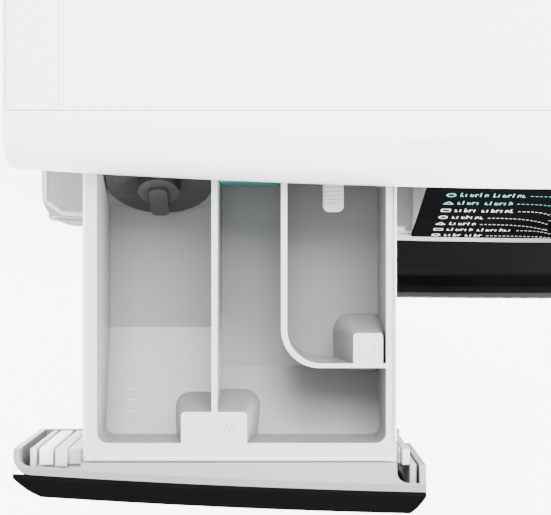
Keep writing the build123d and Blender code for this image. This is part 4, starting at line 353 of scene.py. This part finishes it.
def round_mark(x, z, radius, sides=14):
    """Filled round mark."""
    return [(x + radius * math.cos(2 * math.pi * k / sides), z + radius * math.sin(2 * math.pi * k / sides))
            for k in range(sides)]


def hoop(x, z, radius, width, sides=18, start=0.0, turn=360.0):
    """Short bars that follow a circle, so that they read as a ring or an arc."""
    out = []
    for k in range(sides):
        a = math.radians(start + turn * k / sides)
        b = math.radians(start + turn * (k + 1) / sides)
        out.append([(x + r * math.cos(t), z + r * math.sin(t))
                    for r, t in ((radius, a), (radius, b), (radius - width, b), (radius - width, a))])
    return out


def stroke(points, width):
    """Bars that follow a line of 2-D points."""
    out = []
    for (x0, z0), (x1, z1) in zip(points, points[1:]):
        length = math.hypot(x1 - x0, z1 - z0)
        px, pz = -(z1 - z0) / length * width / 2, (x1 - x0) / length * width / 2
        out.append([(x0 + px, z0 + pz), (x0 - px, z0 - pz), (x1 - px, z1 - pz), (x1 + px, z1 + pz)])
    return out


# ------------------------------------------------------------------ fascia print
glass = tree_of("fascia_glass")
BACKWARD = (0, 1, 0)


def face_point(x, z):
    """Point in front of the fascia, in millimetres across and up."""
    return (x * MM, LIP - 0.1, z * MM)


def on_glass(name, shapes, finish):
    """Marks printed on the black glass of the fascia."""
    printed(name, shapes, glass, face_point, BACKWARD, INK_LIFT, "cabinet", finish)


knob_x = joints["programme_turn"]["pos_m"][0] / MM
knob_z = joints["programme_turn"]["pos_m"][2] / MM
ROW_TOP = 811.0
ROW_PITCH = 10.35
ICON_X = -90.5
WORD_X = -86.0
STEM = 0.62  # width of an upright stroke
LETTER_PITCH = 2.35
WORD_GAP = 1.7
GUIDE_DOT = 1.3
GUIDE_PITCH = 2.2
GUIDE_END = -30.0  # the guide lines stop left of this
GUIDE_ANGLE = 62.0  # direction of the first row's guide line round the knob
GUIDE_TURN = 20.5
TEAL_ROWS = 2
ROWS = ((6, 7), (5, 6), (5, 7), (7,), (6,), (6, 8), (4, 4))  # strokes in each group of a row


def row_sign(row, z):
    """Small sign that opens a row: a ring, a triangle or a square in turn."""
    if row % 3 == 0:
        return hoop(ICON_X, z + 1.6, 2.4, 0.8, sides=12)
    if row % 3 == 1:
        return stroke([(ICON_X - 2.3, z), (ICON_X, z + 3.6), (ICON_X + 2.3, z), (ICON_X - 2.3, z)], 0.7)
    return stroke([(ICON_X - 2.1, z), (ICON_X + 2.1, z), (ICON_X + 2.1, z + 3.4),
                   (ICON_X - 2.1, z + 3.4), (ICON_X - 2.1, z)], 0.7)


def stroke_groups(row, z, groups):
    """Generic upright strokes that spell nothing, and the x where they end."""
    out = []
    x = WORD_X
    for letters in groups:
        for letter in range(letters):
            tall = 3.2 + (1.3 if (letter * 7 + row) % 4 == 0 else 0)
            out.append(bar(x, z, STEM, tall))
            if letter % 3 != 1:
                out.append(bar(x + STEM, z + (2.5 if letter % 2 else 0.0), 1.0, 0.7))
            if letter % 3 == 2:
                out.append(bar(x + 1.2, z + 0.7, 0.5, 1.8))
            x += LETTER_PITCH
        x += WORD_GAP
    return out, x


def guide_line(row, x, z):
    """Dotted line that bends from the end of a row towards its place round the knob."""
    angle = math.radians(GUIDE_ANGLE - GUIDE_TURN * row)
    end_x = knob_x - 27.5 * math.cos(angle)
    end_z = knob_z + 29.5 * math.sin(angle)
    out = []
    dot = x
    while dot < min(end_x, GUIDE_END):
        share = (dot - x) / max(end_x - x, 1)
        out.append(bar(dot, z + 1.2 + (end_z - z - 1.2) * share ** 3, GUIDE_DOT, 0.5))
        dot += GUIDE_PITCH
    return out


teal, white = [], []
for row, groups in enumerate(ROWS):
    z = ROW_TOP - ROW_PITCH * row
    strokes, end = stroke_groups(row, z, groups)  # end is where the guide line starts
    ink = teal if row < TEAL_ROWS else white
    ink.extend(row_sign(row, z) + strokes + guide_line(row, end, z))
on_glass("fascia_marks_teal", teal, "print_teal")
on_glass("fascia_marks_white", white, "print_white")

TICK_NEAR, TICK_FAR = 27.6, 29.6
GLASS_SPAN = (748, 825)  # heights between which the ticks lie on the glass
ticks = []
for k in range(12):
    angle = math.radians(30 * k + 15)
    (x0, z0), (x1, z1) = [(knob_x + r * math.cos(angle), knob_z + r * math.sin(angle))
                          for r in (TICK_NEAR, TICK_FAR)]
    if GLASS_SPAN[0] < min(z0, z1) and max(z0, z1) < GLASS_SPAN[1]:
        ticks += stroke([(x0, z0), (x1, z1)], 0.5)
on_glass("fascia_knob_ticks", ticks, "print_white")

SEGMENTS = {"0": "abcdef", "1": "bc", "4": "bcfg", "5": "acdfg"}


def seven_segment(sign, x, z, size):
    """Bars of one display digit."""
    w, h, t = size * 0.55, size, size * 0.09
    places = {"a": bar(x + t, z + h - t, w - 2 * t, t), "b": bar(x + w - t, z + h / 2 + t / 2, t, h / 2 - t),
              "c": bar(x + w - t, z + t / 2, t, h / 2 - t), "d": bar(x + t, z, w - 2 * t, t),
              "e": bar(x, z + t / 2, t, h / 2 - t), "f": bar(x, z + h / 2 + t / 2, t, h / 2 - t),
              "g": bar(x + t, z + h / 2 - t / 2, w - 2 * t, t)}
    return [places[s] for s in SEGMENTS[sign]]


digits = []
for sign, x in (("1", 82), ("4", 99), ("5", 114)):
    digits += seven_segment(sign, x, 776, 19)
digits += [round_mark(95, 781, 1.0), round_mark(95, 789, 1.0)]
for sign, x in (("4", 142), ("0", 149)):
    digits += seven_segment(sign, x, 779, 9)
digits += hoop(157.5, 786.8, 1.2, 0.4, sides=10)
on_glass("display_digits", digits, "digit_glow")

FIELD_COUNT = 6  # touch fields under and over the display
FIELD_PITCH = 21
fields = stroke([(46, 760), (178, 760), (178, 812), (46, 812), (46, 760)], 0.35)
for k in range(FIELD_COUNT):
    fields += hoop(58 + FIELD_PITCH * k, 766.5, 1.7, 0.4, sides=12)
    fields += [bar(55 + FIELD_PITCH * k, 805.5, 6, 0.8)]
on_glass("display_outline", fields, "print_white")


def power_sign(x, z):
    """Open ring with a bar through its gap."""
    return hoop(x, z, 3.4, 0.6, sides=14, start=120, turn=300) + [bar(x - 0.3, z + 1, 0.6, 3.2)]


def start_sign(x, z):
    """Triangle and two bars."""
    return [[(x - 3.2, z - 2.6), (x - 3.2, z + 2.6), (x + 0.4, z)],
            bar(x + 1.2, z - 2.6, 0.8, 5.2), bar(x + 2.9, z - 2.6, 0.8, 5.2)]


SIGN_DROP = 0.0098  # middle of a button below its top
for body, node, sign_of in (("power_key", "power_button", power_sign),
                            ("start_key", "start_button", start_sign)):
    box_low, box_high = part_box(node)
    shapes = sign_of((box_low.x + box_high.x) / 2 / MM, (box_high.z - SIGN_DROP) / MM)
    printed(f"{body}_mark", shapes, tree_of(node), face_point, BACKWARD, 0.00005, body, "print_white")

# ------------------------------------------------------------------ programme knob grip
axis = Vector(joints["programme_turn"]["axis"]).normalized()
centre = Vector(joints["programme_turn"]["pos_m"])
across = axis.orthogonal().normalized()
other = axis.cross(across)
RIDGES = 60
RIDGE_HALF = 0.00045
RIDGE_ENDS = ((0.0022, 0.0249), (0.0148, 0.0242))  # height along the knob and radius there
verts, faces = [], []
for k in range(RIDGES):
    angle = 2 * math.pi * k / RIDGES
    radial = math.cos(angle) * across + math.sin(angle) * other
    side = axis.cross(radial)
    for height, radius in RIDGE_ENDS:
        for offset, out in ((-RIDGE_HALF, 0.0), (0, RIDGE_HALF), (RIDGE_HALF, 0.0)):
            verts.append(centre + axis * height + radial * (radius + out) + side * offset)
    s = 6 * k
    faces += [[s, s + 1, s + 4, s + 3], [s + 1, s + 2, s + 5, s + 4], [s, s + 2, s + 1],
              [s + 3, s + 4, s + 5], [s, s + 3, s + 5, s + 2]]
piece("knob_grip", verts, faces, "knob", "bezel_metal")
POINTER_HALF = 0.0006
POINTER_SPAN = (0.012, 0.0215)  # distances of the pointer's ends from the knob's middle
KNOB_TOP = 0.01785
pointer = [centre + axis * KNOB_TOP + across * u + other * v
           for u, v in ((-POINTER_HALF, POINTER_SPAN[0]), (POINTER_HALF, POINTER_SPAN[0]),
                        (POINTER_HALF, POINTER_SPAN[1]), (-POINTER_HALF, POINTER_SPAN[1]))]
verts, faces = prism(pointer, axis * 0.00025)
piece("knob_pointer", verts, faces, "knob", "print_white")

# ------------------------------------------------------------------ drawer detail
tray = tree_of("drawer_tray")
DOWN = (0, 0, -1)


def drawer_y(depth):
    """Y of a drawer feature from its depth with the drawer closed, in millimetres."""
    return LIP + depth * MM - DRAWER_OPEN


def over_tray(x, depth):
    """Point above the tray, from millimetres across and back."""
    return (x * MM, drawer_y(depth), CAD_HIGH.z + 0.01)


def tub_sign(x, depth):
    """Wash tub with two feet."""
    return (hoop(x, depth, 3.9, 0.6, sides=16, start=180, turn=180) + [bar(x - 4.1, depth - 0.2, 8.2, 0.6)]
            + [round_mark(x + side * 1.8, depth - 1.7, 0.7) for side in (-1, 1)])


def flower_sign(x, depth):
    """Five petals."""
    out = []
    for k in range(5):
        angle = math.radians(90 + 72 * k)
        out += hoop(x + 2.0 * math.cos(angle), depth + 2.0 * math.sin(angle), 1.35, 0.45, sides=10)
    return out


def cup_sign(x, depth):
    """Cup with a dot in it."""
    return stroke([(x - 3.7, depth + 3.6), (x - 3.7, depth - 2.2), (x - 2.1, depth - 3.8),
                   (x + 2.1, depth - 3.8), (x + 3.7, depth - 2.2), (x + 3.7, depth + 3.6)],
                  0.7) + [round_mark(x, depth, 0.8)]


raised = tub_sign(-212.5, 59.0) + flower_sign(-197.3, 58.7) + cup_sign(-131.3, 96.2)
printed("block_icons", raised, tray, over_tray, DOWN, 0.00022, "drawer", "clip_grey", thick=MARK_THICK)
SCALE_X, SCALE_DEPTH, SCALE_PITCH = -251.5, 62.0, 5.4
scale = [bar(SCALE_X, SCALE_DEPTH + SCALE_PITCH * k, length, 0.5) for k, length in enumerate((6.5, 5.0, 6.5))]
printed("volume_lines", scale, tray, over_tray, DOWN, MARK_LIFT, "drawer", "clip_grey", thick=MARK_THICK)

strip_low, strip_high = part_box("drawer_tray")
TRAY_TOP = strip_high.z
TRAY_LEFT, TRAY_RIGHT = strip_low.x, strip_high.x
RIM_WIDTH = 0.0012
# Rim strips in the paler tray finish, which paints the light on the rim.
for side, x in (("left", TRAY_LEFT), ("right", TRAY_RIGHT - RIM_WIDTH)):
    block(f"tray_rim_painted_light_{side}", (x, x + RIM_WIDTH), (drawer_y(52), drawer_y(248)),
          (TRAY_TOP - 0.0006, TRAY_TOP + 0.0008), "drawer", "tray_rim_painted_light", bevel=0.0004)
block("tray_front_strip", (TRAY_LEFT + 0.001, TRAY_RIGHT - 0.001), (drawer_y(42.6), drawer_y(45.0)),
      (TRAY_TOP - 0.001, TRAY_TOP + 0.0007), "drawer", "tray_rim_painted_light", bevel=0.0005)

# The rib, post and plate clips take the grey clip finish as painted shade.
# name, left, right, front depth, rear depth and top in millimetres, finish
clips = (
    ("clip_left_rib", -293.0, -290.2, 36.0, 48.5, 819, "clip_grey"),
    ("clip_left_block", -288.9, -282.2, 40.3, 48.5, 817, "white_plastic"),
    ("clip_left_post", -280.8, -275.1, 39.9, 48.5, 820, "clip_grey"),
    ("clip_left_plate", -275.1, -268.6, 40.3, 48.0, 815, "clip_grey"),
    ("clip_left_platform", -290.4, -268.6, 37.0, 40.3, 812, "white_plastic"),
    ("clip_right_plate", -117.1, -115.1, 40.8, 48.0, 815, "clip_grey"),
    ("clip_right_post", -115.1, -111.4, 40.8, 48.5, 820, "clip_grey"),
    ("clip_right_rib", -111.2, -108.0, 29.0, 41.0, 819, "clip_grey"),
)
shell_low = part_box("drawer_front")[0].z
for name, x0, x1, d0, d1, top, finish in clips:
    block(name, (x0 * MM, x1 * MM), (drawer_y(d0), drawer_y(d1)), (shell_low + 0.003, top * MM),
          "drawer", finish)

dial_axis = Vector(joints["dial_turn"]["axis"]).normalized()
dial_centre = Vector(joints["dial_turn"]["pos_m"])
dial_up = Vector((1, 0, 0)).cross(dial_axis) * -1
if dial_up.z < 0:
    dial_up = -dial_up
dial_tree = tree_of("detergent_dial")


def over_dial(x, v):
    """Point in front of the dial's face, from millimetres across and up it."""
    return dial_centre + dial_axis * 0.05 + Vector((1, 0, 0)) * x * MM + dial_up * v * MM


dial_marks = hoop(-19.0, 4.0, 3.0, 0.6, sides=12) + stroke([(16, 1.5), (22, 1.5), (19, 6.5), (16, 1.5)], 0.6)
dial_marks += hoop(-17.5, -10.0, 2.6, 0.6, sides=12, start=180, turn=180)
dial_marks += stroke([(14.5, -12), (20.5, -12)], 0.7) + stroke([(14.5, -9.5), (20.5, -9.5)], 0.7)
printed("dial_marks", dial_marks, dial_tree, over_dial, -dial_axis, 0.00018, "dial", "seam_shadow",
        thick=0.0003)

# ------------------------------------------------------------------ bay shelf rim
bay_floor = shell_low - 0.001
left_edge = CAD_LOW.x
BAY_RIM_START = 0.0030  # from the machine's left side
BAY_RIM_END = 0.1935
BAY_RIM_BACK = 0.0052  # behind the lip at the middle
RIM_HEIGHT = 0.00075
RIM_STEPS = 24
rim = []
for k in range(RIM_STEPS + 1):
    x = left_edge + BAY_RIM_START + (BAY_RIM_END - BAY_RIM_START) * k / RIM_STEPS
    corner = max(0.0, 0.012 - (x - left_edge)) ** 2 / 0.016
    rim.append((x, LIP + BAY_RIM_BACK + bow(x) + corner))
rim_section = ((0, 0.0), (0, 0.0005), (0.0007, RIM_HEIGHT), (0.002, RIM_HEIGHT), (0.0027, 0.0))
corners = len(rim_section)
verts = [(x, y + dy, bay_floor + dz) for x, y in rim for dy, dz in rim_section]
faces = []
for k in range(RIM_STEPS):
    for m in range(corners):
        n = (m + 1) % corners
        faces.append([corners * k + m, corners * k + n, corners * (k + 1) + n, corners * (k + 1) + m])
faces += [list(range(corners)), [corners * RIM_STEPS + m for m in range(corners)][::-1]]
piece("bay_rim_front", verts, faces, "cabinet", "white_plastic")
block("bay_rim_side", (left_edge + 0.0004, left_edge + 0.0031), (rim[0][1] + 0.001, LIP + 0.050),
      (bay_floor, bay_floor + RIM_HEIGHT), "cabinet", "white_plastic", bevel=0.0003)

# ------------------------------------------------------------------ worktop edge line
board_low, board_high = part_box("worktop_board")
for side, x in (("left", board_low.x), ("right", board_high.x)):
    sign = 1 if side == "left" else -1
    xs = sorted((x - sign * 0.0021, x - sign * 0.0004))
    block(f"worktop_bead_{side}", xs, (board_low.y, board_high.y), (CAD_HIGH.z - 0.0008, CAD_HIGH.z + 0.0004),
          "cabinet", "white_plastic", bevel=0.0003)

# ------------------------------------------------------------------ drum with perforations
shell_min, shell_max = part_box("drum_shell")
outer = (shell_max.x - shell_min.x) / 2
front_y, rear_y = shell_min.y, shell_max.y
SKIN = 0.0008
AROUND, ALONG = 96, 17  # cells round the drum and along it
HOLE = 0.17  # radius of a hole, as a share of a cell
MOUTH = 0.172
LATHE_STEPS = 128


def wall_point(u, v):
    """Point on the drum wall, u cells around and v cells back."""
    angle = 2 * math.pi * u / AROUND
    radius = outer - SKIN / 2
    return Vector((radius * math.cos(angle), front_y + v * (rear_y - front_y) / ALONG,
                   AXIS_Z + radius * math.sin(angle)))


def perforated_wall():
    """Drum wall in cells, with a hole in every second one."""
    verts, faces = [], []
    square = [(0, 0), (0.5, 0), (1, 0), (1, 0.5), (1, 1), (0.5, 1), (0, 1), (0, 0.5)]
    for row in range(ALONG):
        for col in range(AROUND):
            start = len(verts)
            if 0 < row < ALONG - 1 and (row + col) % 2:
                for k, (a, b) in enumerate(square):
                    verts.append(wall_point(col + a, row + b))
                    angle = math.radians(225 + 45 * k)
                    verts.append(wall_point(col + 0.5 + HOLE * math.cos(angle),
                                            row + 0.5 + HOLE * math.sin(angle)))
                for k in range(8):
                    m = (k + 1) % 8
                    faces.append([start + 2 * k, start + 2 * m, start + 2 * m + 1, start + 2 * k + 1])
            else:
                verts += [wall_point(col + a, row + b) for a, b in square]
                faces.append([start + k for k in range(8)])
    return verts, faces


wall = piece("drum_perforated_wall", *perforated_wall(), "drum", "stainless_steel", smooth=True)
thick = wall.modifiers.new("skin", "SOLIDIFY")
thick.thickness = SKIN
thick.offset = 0
profile_front = [(MOUTH, 0), (MOUTH, 0.004), (MOUTH + 0.004, 0.004), (MOUTH + 0.0048, 0.0009),
                 (outer - SKIN, 0.0009), (outer - SKIN, 0)]
piece("drum_front_ring", *lathe(profile_front, (0, front_y, AXIS_Z), LATHE_STEPS), "drum", "stainless_steel")
profile_back = [(0.012, -0.0009), (0.06, -0.0009), (0.075, -0.006), (0.2, -0.006), (0.215, -0.0009),
                (outer - SKIN, -0.0009), (outer - SKIN, -0.00005), (0.012, -0.00005)]
piece("drum_back_plate", *lathe(profile_back, (0, rear_y, AXIS_Z), LATHE_STEPS), "drum", "stainless_steel")
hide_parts("drum_shell")

# ------------------------------------------------------------------ springs and hoses
bounce = {d["node"]: d["fixed_end_z_m"] for d in joints["tub_bounce"]["deforming_nodes"]}
spring_low, spring_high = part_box("tub_springs")
spring_y = (spring_low.y + spring_high.y) / 2
SPRING_OUTER = 0.013
SPRING_WIRE = 0.0016
SPRING_TURNS = 15
TURN_STEPS = 22
SPRING_LEAD = 0.008  # straight end above and below the coils


def coil_path(x):
    """Points of a coil spring, with a straight end at each side."""
    radius = SPRING_OUTER - SPRING_WIRE
    steps = SPRING_TURNS * TURN_STEPS
    height = spring_high.z - spring_low.z - 2 * SPRING_LEAD
    path = [(x, spring_y, spring_low.z + 0.001)]
    for k in range(steps + 1):
        angle = 2 * math.pi * k / TURN_STEPS
        path.append((x + radius * math.cos(angle), spring_y + radius * math.sin(angle),
                     spring_low.z + SPRING_LEAD + height * k / steps))
    path.append((x, spring_y, spring_high.z - 0.001))
    return path


for name, x in (("left", spring_low.x + SPRING_OUTER), ("right", spring_high.x - SPRING_OUTER)):
    verts, faces = sweep(coil_path(x), SPRING_WIRE, 8)
    coil = piece(f"suspension_spring_{name}", verts, faces, None, "galvanised_steel", smooth=True)
    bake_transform(coil)
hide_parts("tub_springs")

HOSE_WALL = 0.003
HOSE_CUFF = 0.006  # plain end of a hose
RIB_STEPS = 8
for node, ribs in (("sump_hose", 7), ("dispenser_hose", 3)):
    a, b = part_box(node)
    radius = (b.x - a.x) / 2
    centre_x, centre_y = (a.x + b.x) / 2, (a.y + b.y) / 2
    outline = [(radius - HOSE_WALL, a.z), (radius - 0.0004, a.z)]
    for k in range(ribs * RIB_STEPS + 1):
        share = k / (ribs * RIB_STEPS)
        wave = 0.5 - 0.5 * math.cos(2 * math.pi * ribs * share)
        outline.append((radius - 0.0014 - 0.0009 * wave,
                        a.z + HOSE_CUFF + (b.z - a.z - 2 * HOSE_CUFF) * share))
    outline += [(radius - 0.0004, b.z), (radius - HOSE_WALL, b.z)]
    verts, faces = lathe(outline, (centre_x, centre_y, 0), 48, axis="Z")
    hose = piece(f"{node}_ribbed", verts, faces, None, "black_rubber", smooth=True)
    top_fixed = abs(bounce[node] - b.z) < abs(bounce[node] - a.z)
    ends = ((centre_x, centre_y, b.z), (centre_x, centre_y, a.z))
    start, end = ends if top_fixed else ends[::-1]
    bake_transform(hose)
    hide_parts(node)

# ------------------------------------------------------------------ stage, lights, camera
def floor_material():
    """Pale studio floor that glows a little, so that it stays white in every view."""
    made, nodes, links = new_material("studio_floor")
    shader = nodes["Principled BSDF"]
    place = nodes.new("ShaderNodeTexCoord")
    noise = nodes.new("ShaderNodeTexNoise")
    noise.inputs["Scale"].default_value = 3.0
    tint = nodes.new("ShaderNodeValToRGB")
    tint.color_ramp.elements[0].color = (0.93, 0.93, 0.93, 1)
    tint.color_ramp.elements[1].color = (0.96, 0.96, 0.96, 1)
    links.new(place.outputs["Object"], noise.inputs["Vector"])
    links.new(noise.outputs["Fac"], tint.inputs["Fac"])
    links.new(tint.outputs["Color"], shader.inputs["Base Color"])
    shader.inputs["Roughness"].default_value = 0.9
    shader.inputs["Emission Color"].default_value = (1, 1, 1, 1)
    shader.inputs["Emission Strength"].default_value = 3.5
    return made


M["studio_floor"] = floor_material()
REACH = 8.0  # half the floor's side
corners = [(-REACH, -REACH, 0), (REACH, -REACH, 0), (REACH, REACH, 0), (-REACH, REACH, 0)]
floor = piece("studio_floor", corners, [[0, 1, 2, 3]], None, "studio_floor")
floor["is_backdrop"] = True

world = bpy.data.worlds.new("studio")
bpy.context.scene.world = world
world.use_nodes = True
world.node_tree.nodes["Background"].inputs["Color"].default_value = (1.0, 1.0, 1.0, 1)
world.node_tree.nodes["Background"].inputs["Strength"].default_value = 2.3


def softbox(name, place, aim, size, power):
    """A large soft area light aimed at a point."""
    lamp = bpy.data.lights.new(name, "AREA")
    lamp.shape = "RECTANGLE"
    lamp.size, lamp.size_y = size
    lamp.energy = power
    made = bpy.data.objects.new(name, lamp)
    bpy.context.scene.collection.objects.link(made)
    made.location = place
    made.rotation_euler = (Vector(aim) - Vector(place)).to_track_quat("-Z", "Y").to_euler()


softbox("key_right", (2.4, -0.9, 2.3), (0, 0, 0.7), (1.6, 1.6), 420)
softbox("fill_left", (-2.2, -1.6, 1.9), (0, 0, 0.5), (2.2, 2.2), 60)
softbox("top_rear", (0.2, 1.2, 2.9), (0, 0, 0.6), (2.2, 1.4), 200)

camera = bpy.data.cameras.new("photo_camera")
camera.sensor_width = 36.0
camera.lens = 85.8
viewer = bpy.data.objects.new("photo_camera", camera)
bpy.context.scene.collection.objects.link(viewer)
viewer.location = (-0.1755, LIP - 0.0081, 1.447)
viewer.rotation_euler = (0, 0, 0)  # straight down on the front edge
bpy.context.scene.camera = viewer
